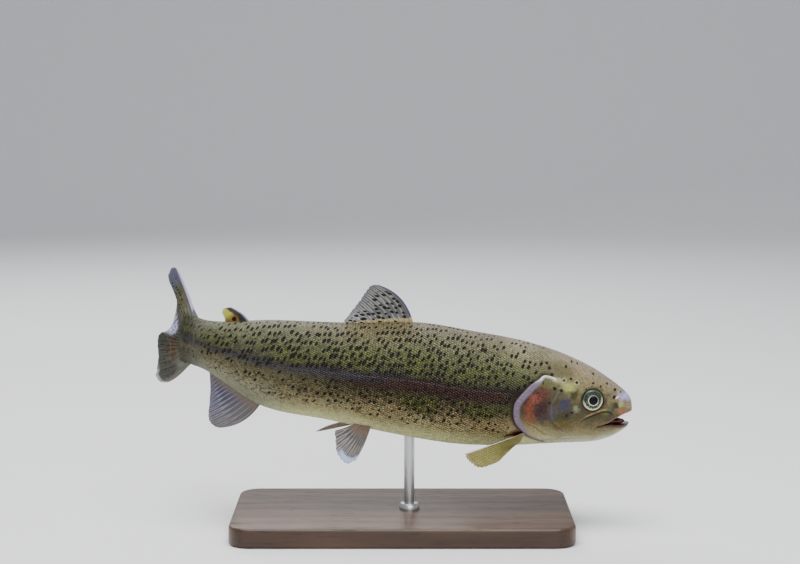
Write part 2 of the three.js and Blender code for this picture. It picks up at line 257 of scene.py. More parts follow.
def turn_at(s):
    head = HEAD_TURN[0] * (1 - ramp(s, *HEAD_TURN[1:]))
    return np.radians(head + TAIL_TURN[0] * ramp(s, *TAIL_TURN[1:]))


SPINE_S = np.arange(SPINE_LENGTH + 1.0)
SPINE_STEPS = turn_at(SPINE_S[1:] - 0.5)
SPINE_X = np.concatenate([[0], -np.cumsum(np.cos(SPINE_STEPS))])
SPINE_Y = np.concatenate([[0], np.cumsum(np.sin(SPINE_STEPS))])


def placed(s, y, h):
    """Straight millimetres to metres in the shared frame, as an array of points."""
    s, y, h = np.broadcast_arrays(np.asarray(s, float), np.asarray(y, float), np.asarray(h, float))
    at = np.clip(s, 0, SPINE_LENGTH)
    turn = turn_at(at)
    x = np.interp(at, SPINE_S, SPINE_X) - (s - at) + y * np.sin(turn)
    across = np.interp(at, SPINE_S, SPINE_Y) + y * np.cos(turn)
    z = h + TAIL_LIFT[0] * ramp(s, *TAIL_LIFT[1:])
    forward = x * math.cos(PITCH) + z * math.sin(PITCH) + SNOUT_AT[0]
    up = -x * math.sin(PITCH) + z * math.cos(PITCH) + SNOUT_AT[1]
    return MM * np.stack([forward, across, up], axis=-1)


print("tail end at", placed(TAIL_END, 0, 0).round(3))

# %% [markdown]
# ## Lines of the head
# Over bone and gill cover the skin shows edges and seams: the free rim of the gill cover, the arc
# of the cheek bone, the upper jaw bone under the eye, and the lips. Each is one smooth line
# through a few points. The skin reads the distance to these lines twice: once to raise or sink
# itself, and once to colour itself, so that shape and colour can't drift apart.

# %% Curves over the head, and distances to them
GILL_RIM = [(38, 8), (44, 9.5), (47.5, 10.9), (52.7, 11.2), (55.4, 8.7), (59.3, 5.4), (62.2, 1.6),
            (65.1, -2.6), (66.9, -6.6), (66.9, -11), (66, -15.1), (63.8, -18.8), (60.3, -21.6),
            (57.6, -23.6), (50, -26.6), (40, -28)]
CHEEK_ARC = [(42.6, 9), (43.7, 5.9), (45.4, 1.5), (47.4, -3), (47.7, -6.7), (46.6, -12), (43, -16),
             (37, -19)]
COVER_SEAM = [(60.8, -15.4), (57, -17.2), (54.3, -17.9), (49.7, -21), (44, -23.4)]
INNER_SEAM = [(53.4, -17.2), (49.3, -14.2), (46.9, -11)]
JAW_BONE = [(10.5, -6.4), (13.5, -4.9), (18.2, -5.8), (23.8, -8.9), (28.3, -12), (30, -14.6),
            (29, -16.8), (26, -17.6), (22, -16.8), (18.4, -14.6), (14, -11), (10.5, -6.4)]
UPPER_LIP = [(-2, -3.2), (0.4, -3.9), (4.5, -5.6), (9.8, -9.2), (14.2, -12.5), (18.5, -14.2)]
LOWER_LIP = [(-2, -10.5), (1, -11), (3.5, -12), (8, -12.4), (13, -12.8), (18.5, -14.2)]
JAW_FOLD = [(8, -17.2), (14, -19.4), (22, -21.8), (31, -23.2), (40, -24.6), (48, -26)]
BREAST_EDGE = [(59, -24), (63, -25.2), (68, -26.8)]
EYE_AT = (23.8, 0.8)
NOSTRIL_AT = (11.4, 3.4)


def wrapped(points):
    """Side-view points (s, h) as points (s, wrap) on the surface."""
    s, h = np.array(points, float).T
    level = outline("level", s)
    upper = h > level
    reach = reach_of(s, level, upper) * nose_cap(s)
    bulge = fullness(s, upper) / 2
    lean = np.clip(np.abs(h - level) / reach, 0, 1) ** bulge * np.sign(h - level)
    return np.stack([s, wrap_of(s, np.arccos(lean))], axis=1)


def smooth_line(points, pieces=40):
    points = wrapped(points)
    return hermite(np.linspace(0, 1, len(points)), points, np.linspace(0, 1, pieces + 1))


def distance(s, wrap, line):
    """Distance to a line over the surface, positive on its right when it is walked downwards."""
    nearest = np.full(np.shape(s), 1e9)
    side = np.ones(np.shape(s))
    for a, b in zip(line[:-1], line[1:]):
        edge = b - a
        t = np.clip(((s - a[0]) * edge[0] + (wrap - a[1]) * edge[1]) / (edge @ edge), 0, 1)
        gap = np.hypot(s - a[0] - t * edge[0], wrap - a[1] - t * edge[1])
        turn = np.where(edge[0] * (wrap - a[1]) - edge[1] * (s - a[0]) > 0, -1, 1)
        side = np.where(gap < nearest, turn, side)
        nearest = np.minimum(gap, nearest)
    return nearest * side


LINES = {
    "rim": smooth_line(GILL_RIM, 60),
    "cheek": smooth_line(CHEEK_ARC),
    "seam": smooth_line(COVER_SEAM, 24),
    "inner": smooth_line(INNER_SEAM, 12),
    "bone": smooth_line(JAW_BONE, 44),
    "upper_lip": smooth_line(UPPER_LIP, 30),
    "lower_lip": smooth_line(LOWER_LIP, 30),
    "fold": smooth_line(JAW_FOLD, 24),
    "breast": smooth_line(BREAST_EDGE, 12),
}
EYE_WRAP = wrapped([EYE_AT])[0]
NOSTRIL_WRAP = wrapped([NOSTRIL_AT])[0]
NO_LINE = 99.0  # the distance given away from the head
HEAD_REACH = 76.0


def head_distances(s, wrap):
    """Distances to every line of the head, and to the middles of the eye and the nostril."""
    near = s < HEAD_REACH
    found = {}
    for name, line in LINES.items():
        outside = -NO_LINE if name == "bone" else NO_LINE
        found[name] = np.full(s.shape, outside)
        found[name][near] = distance(s[near], wrap[near], line)
    found["eye"] = np.hypot(s - EYE_WRAP[0], wrap - EYE_WRAP[1])
    found["nostril"] = np.hypot(s - NOSTRIL_WRAP[0], wrap - NOSTRIL_WRAP[1])
    return found


probe = head_distances(np.array([60.0, 70.0]), np.array([0.0, 0.0]))
print("gill rim ahead of and behind it:", probe["rim"].round(1), "bone inside:",
      head_distances(np.array([22.0]), wrapped([(22, -11)])[:, 1])["bone"].round(1))

# %% [markdown]
# ## Relief of the skin
# Under the colours, the head is modelled by small rises and dips: the gill cover ends in a step,
# the upper jaw bone lies on the cheek like a strap, the eye sits in a soft rim, and the nostril is
# a pit. They could be sculpted with brushes, but a height above the plain outline, worked out from
# the distances to the lines, can be run again and gives the scales the same ground to stand on.

# %% Height of the skin above the plain outline
COAT_DEPTH = 0.3  # the skin lies this far inside the solids wherever scales cover it
SKIN_INSET = 0.05  # and everywhere this far
EYE_OPENING = 6.1


def bump(distance_to, width):
    """1 on a line, falling smoothly to 0 over a width."""
    return np.exp(-((distance_to / width) ** 2))


def above_bone(wrap, s):
    """1 over the jaw bone's upper edge, falling to 0 over its lower one."""
    return ramp(wrap + 2 + 0.5 * (s - 12), -1.5, 1.5)


def ridge(distance_to, height, width):
    """A rise along a line, or a groove where the height is negative."""
    return height * bump(distance_to, width)


def relief(s, wrap, found):
    """Millimetres that the skin stands above its plain outline."""
    rim, bone, eye, nostril = (found[name] for name in ("rim", "bone", "eye", "nostril"))
    # The gill cover swells towards its rim and ends in a step down to the body.
    ahead = ramp(s, 42, 51) * ramp(s, HEAD_REACH, 70)
    swell = 0.1 + ridge(np.maximum(rim, 0), 0.55, 3.6)
    sink = -1.0 * np.exp(-np.maximum(-rim, 0) / 2.6)
    lift = ahead * mix(sink, swell, ramp(rim, -0.4, 0.4))
    # A fold follows the cheek bone, and two seams part the plates of the cover.
    lift += ridge(found["cheek"], -0.2, 0.7) * ramp(s, 36, 42)
    lift += ridge(found["cheek"] - 1.5, 0.14, 1.2)
    lift += ridge(found["seam"], -0.2, 0.5) + ridge(found["inner"], -0.1, 0.5)
    # The jaw bone is a strap in a groove, with a rounded upper edge.
    upper = above_bone(wrap, s)
    edge = mix(0.08, 1.0, upper) * ramp(s, 31, 26)
    lift += 0.16 * ramp(bone, -0.3, 2.5) + ridge(bone - 0.1, -0.4, 0.6) * edge
    lift += ridge(bone + 1.2, 0.28, 0.7) * upper * ramp(s, 12, 16) * ramp(s, 29, 25)
    # Each lip is a soft roll beside the line where the mouth is cut.
    for lip in ("upper_lip", "lower_lip"):
        near = np.abs(found[lip])
        lift += ridge(near - 1.1, 0.3, 0.8) + ridge(near, -0.55, 0.55)
    # The eye has a raised rim with a hollow under it, and so has the nostril.
    lift += ridge(eye - 7.4, 0.34, 1.0) - 0.55 * ramp(eye, 6.9, 5.9)
    lift += ridge(eye - 9.6, -0.35, 1.4) * ramp(wrap, EYE_WRAP[1] - 2, EYE_WRAP[1] - 7)
    lift += ridge(nostril - 1.35, 0.3, 0.4) + ridge(nostril, -1.0, 0.75)
    # Folds run under the jaw and in front of the breast.
    lift += ridge(found["fold"], -0.2, 0.5)
    lift += ridge(found["breast"], -1.1, 1.5) * ramp(s, 57, 61)
    lift -= COAT_DEPTH * ramp(s, scales_start(wrap) - 2, scales_start(wrap) + 12)
    return lift - SKIN_INSET


# Where the scales begin, for each height round the body: behind the nape, the rim and the throat.
START_LINE = wrapped([(70, -33.2), (69, -30), (67.6, -26.4), (66.2, -22.6), (66, -18.8),
                      (67, -15.1), (67.6, -11), (67.6, -6.6), (65.9, -2.6), (63, 1.6), (60, 5.4),
                      (56.4, 8.7), (53.4, 11.6), (50, 16), (48, 23.5)])


def scales_start(wrap):
    return np.interp(wrap, START_LINE[:, 1], START_LINE[:, 0])


def on_skin(s, share, grow=0.0):
    """A straight point of the finished skin, with its relief."""
    angle = angle_at(s, share)
    wrap = wrap_of(s, angle)
    height = relief(s, wrap, head_distances(s, wrap)) * ramp(s, NOSE, NOSE + 2)
    y, h = section(s, angle, height + grow)
    return y, h


print("scales start at the widest level:", round(float(scales_start(0.0)), 1), "mm")

# %% [markdown]
# ## The skin
# One closed surface stands for all the flesh: head, jaw, gill covers, trunk and stalk, so no seam
# shows between them. A grid bent round the fish needs no sculpting and keeps its faces small where
# the detail is. The mouth and the eye sockets are cut by Boolean modifiers while the fish is still
# straight, because there the cutters are plain shapes.

# %% Helpers for meshes
COLLECTION = bpy.context.scene.collection


def add_object(name, mesh):
    made = bpy.data.objects.new(name, mesh)
    COLLECTION.objects.link(made)
    return made


def mesh_of(name, bm):
    """Ends a bmesh and keeps its shape as a mesh."""
    mesh = bpy.data.meshes.new(name)
    bm.to_mesh(mesh)
    bm.free()
    return mesh


def close_up(bm, gap):
    """Merges points nearer than a gap and turns the faces outwards."""
    bmesh.ops.remove_doubles(bm, verts=bm.verts, dist=gap)
    bmesh.ops.recalc_face_normals(bm, faces=bm.faces)


def smooth_mesh(name, bm):
    """A closed, smoothly shaded mesh from a bmesh in metres."""
    close_up(bm, 1e-7)
    mesh = mesh_of(name, bm)
    mesh.shade_smooth()
    return mesh


def grid_of(columns, rows, with_uv=False):
    """A bmesh grid over 0..1 by 0..1, and its points as an array."""
    bm = bmesh.new()
    layer = bm.loops.layers.uv.new("OFBake") if with_uv else None
    bmesh.ops.create_grid(bm, x_segments=columns, y_segments=rows, size=0.5, calc_uvs=with_uv)
    bmesh.ops.translate(bm, verts=bm.verts, vec=(0.5, 0.5, 0))
    points = np.array([v.co for v in bm.verts], float)
    return bm, points[:, 0], points[:, 1], layer


def move_to(bm, points):
    for vert, point in zip(bm.verts, points.tolist()):
        vert.co = point


def drop_doubled_faces(bm):
    """Removes pairs of faces that lie back to back on the same corners."""
    groups = {}
    for face in bm.faces:
        groups.setdefault(frozenset(face.verts), []).append(face)
    doubled = [face for group in groups.values() if len(group) > 1 for face in group]
    bmesh.ops.delete(bm, geom=doubled, context="FACES")


def points_of(mesh):
    points = np.empty(len(mesh.vertices) * 3)
    mesh.vertices.foreach_get("co", points)
    return points.reshape(-1, 3)


def give(mesh, name, *columns):
    """Stores one value or vector for each point of a mesh."""
    kind = "FLOAT_VECTOR" if len(columns) == 3 else "FLOAT"
    key = "vector" if len(columns) == 3 else "value"
    layer = mesh.attributes.new(name, kind, "POINT")
    values = np.stack([np.broadcast_to(c, len(mesh.vertices)) for c in columns], axis=1)
    layer.data.foreach_set(key, np.ascontiguousarray(values, np.float32).ravel())


def set_points(mesh, points):
    mesh.vertices.foreach_set("co", np.ascontiguousarray(points, np.float32).ravel())
    mesh.update()


# %% [markdown]
# The grid's rows are close together on the nose, fine over the head and wider over the trunk. Its
# columns share out the girth evenly, and its two long edges meet under the belly. The same grid
# gives the skin its unwrap.

# %% The skin as a straight, closed shape
SKIN_COLUMNS = 280
HEAD_ROW = 0.38
TRUNK_ROW = 2.2
HEAD_END = 70.0
MOUTH_STRIP = 0.06  # the part of the unwrap kept for the mouth and the sockets


def skin_rows():
    """Where the rows of the grid lie, from the nose to the end of the stalk."""
    nose = NOSE + 2.6 * np.linspace(0, 1, 13)[:-1] ** 1.8
    head = np.arange(NOSE + 2.6, HEAD_END, HEAD_ROW)
    trunk = np.linspace(HEAD_END, TAIL_END, int((TAIL_END - HEAD_END) / TRUNK_ROW))
    return np.concatenate([nose, head, trunk])


RIM_STEP = 0.36
NUDGE = 0.01  # millimetres, to feel which way a distance grows


def snapped(s, share):
    """Points beside the gill rim, moved onto even distances from it so that its edge is clean."""
    wrap = lookup(ARCS, s, 0.5) - np.abs(share) * half_girth(s)
    rim = distance(s, wrap, LINES["rim"])
    slope_s = (distance(s + NUDGE, wrap, LINES["rim"]) - rim) / NUDGE
    slope_wrap = (distance(s, wrap + NUDGE, LINES["rim"]) - rim) / NUDGE
    near = (np.abs(rim) < 3.5 * RIM_STEP) * ramp(s, 43, 47)
    shift = (np.round(rim / RIM_STEP) * RIM_STEP - rim) * near
    s = s + shift * slope_s
    wrap = wrap + shift * slope_wrap
    return s, np.sign(share) * (lookup(ARCS, s, 0.5) - wrap) / half_girth(s)


def straight_skin():
    """The whole skin as one bent grid, closed at the nose, the tail and under the belly."""
    rows = skin_rows()
    bm, across, along, layer = grid_of(SKIN_COLUMNS, len(rows) - 1, with_uv=True)
    s = np.interp(along, np.linspace(0, 1, len(rows)), rows)
    s, share = snapped(s, across * 2 - 1)
    y, h = on_skin(s, share)
    at_nose, at_tail = s <= NOSE + 1e-6, s >= TAIL_END - 1e-6
    y = y * ramp(s, TAIL_END, TAIL_END - 0.1)
    y = np.where(at_nose | at_tail, 0, y)
    y = np.where(np.abs(across - 0.5) > 0.4999, 0, y)  # both edges of the grid meet at the belly
    h = np.where(at_tail, 0, np.where(at_nose, outline("level", s), h))
    for face in bm.faces:
        for loop in face.loops:
            loop[layer].uv.y *= 1 - MOUTH_STRIP
    move_to(bm, np.stack([-s, y, h], axis=1))
    close_up(bm, 1e-4)
    return mesh_of("skin", bm)


skin_mesh = straight_skin()
print("skin:", len(skin_mesh.vertices), "points")

# %% [markdown]
# ## Cutting the mouth and the eye sockets
# An open mouth is a wedge between the lips with a rounded hollow behind them. The wedge follows
# the two lip lines and is cut right across; the hollow is an egg laid along the gape, narrow
# enough to leave the lips their thickness. Each eye socket is a short round plug.

# %% Cutters
EYE_TILT = math.radians(7)  # the eyes look a little forward
EYE_TIP = math.radians(-4)  # and are tipped about their own line of sight
SOCKET_DEPTH = 5.2
GAPE_HALF = 30  # more than half the head's width
HOLLOW_RADII = (12.2, 6.4, 4.7)
HOLLOW_AT = (-14.4, 0, -10.6)
HOLLOW_SLOPE = math.radians(-17)  # down the gape


def finish_cutter(name, bm, material):
    """A cutter with its own material, unwrapped into the strip kept for it."""
    layer = bm.loops.layers.uv.new("OFBake")
    lows = np.min([v.co for v in bm.verts], axis=0)
    spans = np.ptp([v.co for v in bm.verts], axis=0)
    for face in bm.faces:
        for loop in face.loops:
            place = (np.array(loop.vert.co) - lows) / spans
            loop[layer].uv = (place[0], 1 - MOUTH_STRIP * (0.95 - 0.9 * place[2]))
    bmesh.ops.recalc_face_normals(bm, faces=bm.faces)
    mesh = mesh_of(name, bm)
    mesh.materials.append(material)
    return add_object(name, mesh)


def wedge_cutter(material):
    """The gape between the lip lines, right across the head."""
    pieces = np.linspace(0, 1, 29)
    upper = hermite(np.linspace(0, 1, len(UPPER_LIP)), UPPER_LIP, pieces)
    lower = hermite(np.linspace(0, 1, len(LOWER_LIP)), LOWER_LIP, pieces)[::-1][1:]
    corners = np.concatenate([[(-6, -2.4)], upper, lower, [(-6, -10.4)]])
    bm = bmesh.new()
    edge = [bm.verts.new((-s, -GAPE_HALF, h)) for s, h in corners]
    face = bm.faces.new(edge)
    pulled = bmesh.ops.extrude_face_region(bm, geom=[face])["geom"]
    moved = [part for part in pulled if isinstance(part, bmesh.types.BMVert)]
    bmesh.ops.translate(bm, verts=moved, vec=(0, 2 * GAPE_HALF, 0))
    bmesh.ops.triangulate(bm, faces=bm.faces)
    return finish_cutter("gape_cutter", bm, material)


def hollow_cutter(material):
    """The hollow of the mouth: an egg along the gape, deepest in the middle."""
    bm = bmesh.new()
    bmesh.ops.create_uvsphere(bm, u_segments=40, v_segments=24, radius=1)
    bmesh.ops.scale(bm, verts=bm.verts, vec=HOLLOW_RADII)
    bmesh.ops.transform(bm, matrix=Matrix.Rotation(HOLLOW_SLOPE, 4, "Y"), verts=bm.verts)
    bmesh.ops.translate(bm, verts=bm.verts, vec=HOLLOW_AT)
    return finish_cutter("mouth_cutter", bm, material)


def eye_frame(side):
    """Where an eye sits: its middle in straight millimetres, turned to look outwards."""
    half = float(outline("half", EYE_AT[0]))
    turn = Matrix.Rotation(side * (math.pi / 2 - EYE_TILT), 4, "Z")
    tip = Matrix.Rotation(EYE_TIP, 4, "Y")
    return Matrix.Translation((-EYE_AT[0], side * half, EYE_AT[1])) @ turn @ tip


def spun(profile, steps=64):
    """A closed shape from (radius, height) points turned about the x axis."""
    bm = bmesh.new()
    verts = [bm.verts.new((height, radius, 0)) for radius, height in profile]
    edges = [bm.edges.new(pair) for pair in zip(verts[:-1], verts[1:])]
    bmesh.ops.spin(bm, geom=verts + edges, angle=2 * math.pi, steps=steps, axis=(1, 0, 0),
                   cent=(0, 0, 0), use_merge=True)
    close_up(bm, 1e-5)
    return bm


def socket_cutter(side, material):
    profile = [(0, 4), (EYE_OPENING + 0.35, 4), (EYE_OPENING, 0), (EYE_OPENING - 0.25, -2),
               (4.6, -SOCKET_DEPTH), (0, -SOCKET_DEPTH)]
    bm = spun(profile, 72)
    bmesh.ops.transform(bm, matrix=eye_frame(side), verts=bm.verts)
    return finish_cutter("socket_cutter", bm, material)


mouth_material = bpy.data.materials.new("mouth_lining")
socket_material = bpy.data.materials.new("eye_socket")
cutters = [wedge_cutter(mouth_material), hollow_cutter(mouth_material),
           socket_cutter(-1, socket_material), socket_cutter(1, socket_material)]
print("cutters:", [cutter.name for cutter in cutters])

# %% Cut, then lay the skin along the bent backbone
skin_material = bpy.data.materials.new("trout_skin")


def cut_skin(mesh):
    """Cuts the mouth and the sockets, and lets each cut wall keep its own material."""
    mesh.materials.append(skin_material)
    rough = add_object("skin", mesh)
    for cutter in cutters:
        cut = rough.modifiers.new(cutter.name, "BOOLEAN")
        cut.operation = "DIFFERENCE"
        cut.solver = "EXACT"
        cut.material_mode = "TRANSFER"
        cut.object = cutter
    seen = rough.evaluated_get(bpy.context.evaluated_depsgraph_get())
    carved = bpy.data.meshes.new_from_object(seen)
    bpy.data.objects.remove(rough)
    for cutter in cutters:
        bpy.data.objects.remove(cutter)
    return carved


def mark_surface(mesh, s, y, h):
    """Stores what the finishes read: places in the straight fish and distances to its lines."""
    angle = angle_of(s, y, h)
    arc = arc_of(s, angle)
    wrap = wrap_of(s, angle)
    found = head_distances(s, wrap)
    give(mesh, "rest", s, y, h)
    give(mesh, "flank", s, arc * np.where(y < 0, -1, 1), height_share(s, h))
    give(mesh, "edges", found["rim"], found["cheek"], found["bone"])
    give(mesh, "lips", np.minimum(np.abs(found["upper_lip"]), np.abs(found["lower_lip"])),
         found["seam"], found["fold"])
    give(mesh, "spots", found["eye"], found["nostril"], np.abs(found["breast"]))


def sharpen_cuts(mesh):
    """Lips and sockets keep a crisp edge, where skin meets another material."""
    bm = bmesh.new()
    bm.from_mesh(mesh)
    drop_doubled_faces(bm)
    for edge in bm.edges:
        edge.smooth = len({face.material_index for face in edge.link_faces}) == 1
    bm.to_mesh(mesh)
    bm.free()


def finish_skin(mesh):
    points = points_of(mesh)
    s, y, h = -points[:, 0], points[:, 1], points[:, 2]
    mark_surface(mesh, s, y, h)
    set_points(mesh, placed(s, y, h))
    mesh.shade_smooth()
    sharpen_cuts(mesh)
    return add_object("trout_skin", mesh)


skin = finish_skin(cut_skin(skin_mesh))
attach(skin, BODY)
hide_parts("head", "lower_jaw", "trunk", "tail_stalk", "gill_cover_right", "gill_cover_left")
corners = sum(len(p.vertices) - 2 for p in skin.data.polygons)
print("skin:", corners, "triangles, materials", [m.name for m in skin.data.materials])

# %% [markdown]
# ## Finishes as written sums
# Every surface here is painted by nodes, with no images. Wiring them by hand hides the sums in a
# web of links, so one small class wraps a socket and lets ordinary arithmetic add the Math nodes.
# A second one holds a material and the few kinds of node that aren't arithmetic.

# %% Arithmetic on sockets
class Field:
    """A value of a material that varies over the surface."""

    def __init__(self, paint, socket):
        self.paint = paint
        self.socket = socket

    def sum_with(self, operation, *values):
        return self.paint.node("ShaderNodeMath", {"operation": operation}, dict(enumerate(values)))

    def __add__(self, other):
        return self.sum_with("ADD", self, other)

    __radd__ = __add__

    def __sub__(self, other):
        return self.sum_with("SUBTRACT", self, other)

    def __rsub__(self, other):
        return self.sum_with("SUBTRACT", other, self)

    def __mul__(self, other):
        return self.sum_with("MULTIPLY", self, other)

    __rmul__ = __mul__

    def __truediv__(self, other):
        return self.sum_with("DIVIDE", self, other)

    def absolute(self):
        return self.sum_with("ABSOLUTE", self)

    def fraction(self):
        return self.sum_with("FRACT", self)

    def least(self, other):
        return self.sum_with("MINIMUM", self, other)

    def most(self, other):
        return self.sum_with("MAXIMUM", self, other)

    def wave(self):
        return self.sum_with("SINE", self)


class Paint:
    """A material being mixed: its nodes, and the shader that they feed."""

    def __init__(self, material, **settings):
        if isinstance(material, str):
            material = bpy.data.materials.new(material)
        material.use_nodes = True
        self.material = material
        self.nodes = material.node_tree.nodes
        self.links = material.node_tree.links
        self.shader = self.nodes["Principled BSDF"]
        for name, value in settings.items():
            self.shader.inputs[name.replace("_", " ")].default_value = value

    def node(self, kind, settings=None, inputs=None, output=0):
        """Adds a node: its settings first, then the values or links of its sockets."""
        made = self.nodes.new(kind)
        for name, value in (settings or {}).items():
            if name == "stops":
                self.set_stops(made.color_ramp, value)
            else:
                setattr(made, name, value)
        for name, value in (inputs or {}).items():
            self.feed(made.inputs[name], value)
        return Field(self, made.outputs[output])

    def feed(self, socket, value):
        if isinstance(value, Field):
            self.links.new(value.socket, socket)
        elif isinstance(value, (tuple, list)) and len(value) == 3 and socket.type == "RGBA":
            socket.default_value = (*value, 1)
        else:
            socket.default_value = value

    def set_stops(self, color_ramp, stops):
        while len(color_ramp.elements) < len(stops):
            color_ramp.elements.new(1.0)
        for element, (place, colour) in zip(color_ramp.elements, stops):
            element.position = place
            element.color = (*colour, 1)

    def attribute(self, name):
        return self.node("ShaderNodeAttribute", {"attribute_name": name}, output="Vector")

    def amount(self, name):
        return self.node("ShaderNodeAttribute", {"attribute_name": name}, output="Fac")

    def parts(self, vector):
        split = self.node("ShaderNodeSeparateXYZ", inputs={0: vector}).socket.node
        return [Field(self, socket) for socket in split.outputs]

    def vector(self, x, y, z=0.0):
        return self.node("ShaderNodeCombineXYZ", inputs={0: x, 1: y, 2: z})

    def offset(self, vector, other, scale=1.0):
        moved = {0: other, 1: (scale, scale, scale), 2: vector}
        return self.node("ShaderNodeVectorMath", {"operation": "MULTIPLY_ADD"}, moved)

    def noise(self, vector, scale, detail=2.0, roughness=0.5, output="Fac"):
        inputs = {"Vector": vector, "Scale": scale, "Detail": detail, "Roughness": roughness}
        return self.node("ShaderNodeTexNoise", {}, inputs, output)

    def wobble(self, vector, scale, amount, detail=1.0):
        """A vector shaken by noise, so that shapes drawn on it lose their perfect edges."""
        shaken = self.noise(vector, scale, detail, output="Color")
        centred = self.offset((-0.5, -0.5, -0.5), shaken)
        return self.offset(vector, centred, amount)

    def ease(self, value, start, end):
        """0 before start and 1 after end; the other way round when start is the larger."""
        inputs = {"Value": value, "From Min": start, "From Max": end}
        return self.node("ShaderNodeMapRange", {"interpolation_type": "SMOOTHSTEP"}, inputs)

    def line(self, value, width):
        """1 where a distance is 0, fading out over a width on both sides."""
        return self.ease(value.absolute(), width, 0.0)

    def span(self, value, start, end, soft):
        """1 between start and end, with soft sides."""
        return self.ease(value, start - soft, start + soft) * self.ease(value, end + soft, end - soft)

    def colour_at(self, value, stops):
        return self.node("ShaderNodeValToRGB", {"stops": stops}, {0: value})

    def blend(self, under, over, amount, mode="MIX"):
        settings = {"data_type": "RGBA", "blend_type": mode}
        return self.node("ShaderNodeMix", settings, {0: amount, 6: under, 7: over}, 2)

    def layers(self, colour, *coats):
        """Lays tints over a colour in turn, each as thickly as its amount says."""
        for tint, amount in coats:
            colour = self.blend(colour, tint, amount)
        return colour

    def shade(self, colour, brightness):
        """A colour made darker or lighter by a value."""
        inputs = {0: colour, 3: brightness}
        return self.node("ShaderNodeVectorMath", {"operation": "SCALE"}, inputs)

    def patch(self, place, centre, radii):
        """1 in the middle of an oval on (s, h), fading to 0 at its edge."""
        size = (1 / radii[0], 1 / radii[1], 0)
        middle = (-centre[0] / radii[0], -centre[1] / radii[1], 0)
        scaled = self.node("ShaderNodeVectorMath", {"operation": "MULTIPLY_ADD"},
                           {0: place, 1: size, 2: middle})
        reach = self.node("ShaderNodeVectorMath", {"operation": "LENGTH"}, {0: scaled}, "Value")
        return self.ease(reach, 1.0, 0.25)

    def dot(self, place, centre, radius, soft=0.35):
        """1 inside a small disc on (s, h), with a soft edge."""
        reach = self.node("ShaderNodeVectorMath", {"operation": "DISTANCE"}, {0: place, 1: centre},
                          "Value")
        return self.ease(reach, radius + soft, radius - soft)

    def cells(self, vector, randomness=1.0, output="Distance"):
        inputs = {"Vector": vector, "Scale": 1.0, "Randomness": randomness}
        return self.node("ShaderNodeTexVoronoi", {"voronoi_dimensions": "2D"}, inputs, output)

    def finish(self, colour, roughness=None, bump=None, bump_depth=0.0001, strength=1.0, **others):
        self.feed(self.shader.inputs["Base Color"], colour)
        if roughness is not None:
            self.feed(self.shader.inputs["Roughness"], roughness)
        for name, value in others.items():
            self.feed(self.shader.inputs[name.replace("_", " ")], value)
        if bump is not None:
            inputs = {"Height": bump, "Distance": bump_depth, "Strength": strength}
            raised = self.node("ShaderNodeBump", {}, inputs)
            self.links.new(raised.socket, self.shader.inputs["Normal"])
        return self.material


print("paint box ready")

# %% [markdown]
# ## The trout's colours
# From back to belly a rainbow trout runs olive, then a dark band with a violet-pink bloom, then
# golden flecks over fawn, and cream underneath. One ramp over the height share gives that order,
# with a second for the tail stalk, and noise breaks both up as pigment cells do. The same
# function finishes the skin and the scales, so that the markings run through the coat.

# %% Ground colours
FLANK_STOPS = [
    (0.0, (0.2, 0.18, 0.13)), (0.1, (0.175, 0.167, 0.105)), (0.22, (0.122, 0.124, 0.066)),
    (0.34, (0.083, 0.089, 0.038)), (0.42, (0.045, 0.041, 0.023)), (0.455, (0.021, 0.016, 0.013)),
    (0.53, (0.039, 0.032, 0.016)), (0.62, (0.056, 0.049, 0.024)), (0.7, (0.115, 0.096, 0.052)),
    (0.78, (0.27, 0.235, 0.135)), (0.86, (0.46, 0.42, 0.235)), (0.93, (0.66, 0.67, 0.36)),
    (1.0, (0.72, 0.72, 0.45)),
]
STALK_STOPS = [
    (0.0, (0.22, 0.22, 0.155)), (0.12, (0.165, 0.165, 0.105)), (0.3, (0.10, 0.10, 0.056)),
    (0.42, (0.052, 0.047, 0.036)), (0.5, (0.06, 0.052, 0.034)), (0.58, (0.105, 0.093, 0.05)),
    (0.68, (0.175, 0.17, 0.105)), (0.8, (0.25, 0.25, 0.17)), (1.0, (0.31, 0.315, 0.23)),
]
HEAD_STOPS = [
    (0.0, (0.26, 0.22, 0.17)), (0.16, (0.24, 0.2, 0.115)), (0.34, (0.2, 0.175, 0.085)),
    (0.5, (0.086, 0.074, 0.042)), (0.64, (0.10, 0.083, 0.048)), (0.76, (0.175, 0.15, 0.08)),
    (0.86, (0.28, 0.262, 0.16)), (0.93, (0.46, 0.45, 0.31)), (1.0, (0.50, 0.49, 0.36)),
]
SPOT_INK = (0.012, 0.010, 0.008)


def ground(paint, s, share, rest):
    """The colour under every marking, with painted light over the nape and painted shade towards the
    tail.
    """
    ragged = paint.noise(rest, 0.5, 3.0, 0.6) - 0.5
    drift = paint.noise(rest, 0.09, 2.0) - 0.5
    torn = share + ragged * 0.05 + drift * 0.05
    flank = paint.colour_at(torn, FLANK_STOPS)
    stalk = paint.colour_at(torn, STALK_STOPS)
    head = paint.colour_at(share + drift * 0.06, HEAD_STOPS)
    # Painted shade: the stalk is darkened towards its end, most along its middle, and the body again
    # towards the tail's end, where the tail turns away from the light.
    thin = paint.ease(s, 230.0, 252.0)
    stalk = paint.shade(stalk, 1.0 - thin * (0.3 + paint.ease(share, 0.36, 0.56) * 0.3))
    body = paint.blend(flank, stalk, paint.ease(s, 176.0, 216.0))
    # Painted light: the body is lightened over the nape, where the scales' grooves shade it.
    nape = paint.span(s, 57.0, 74.0, 6.0) * paint.ease(share, 0.42, 0.1)
    body = paint.shade(body, 1.0 + nape * 0.45 - paint.ease(s, 250.0, 272.0) * 0.35)
    return paint.blend(head, body, paint.ease(s, 32.0, 66.0))


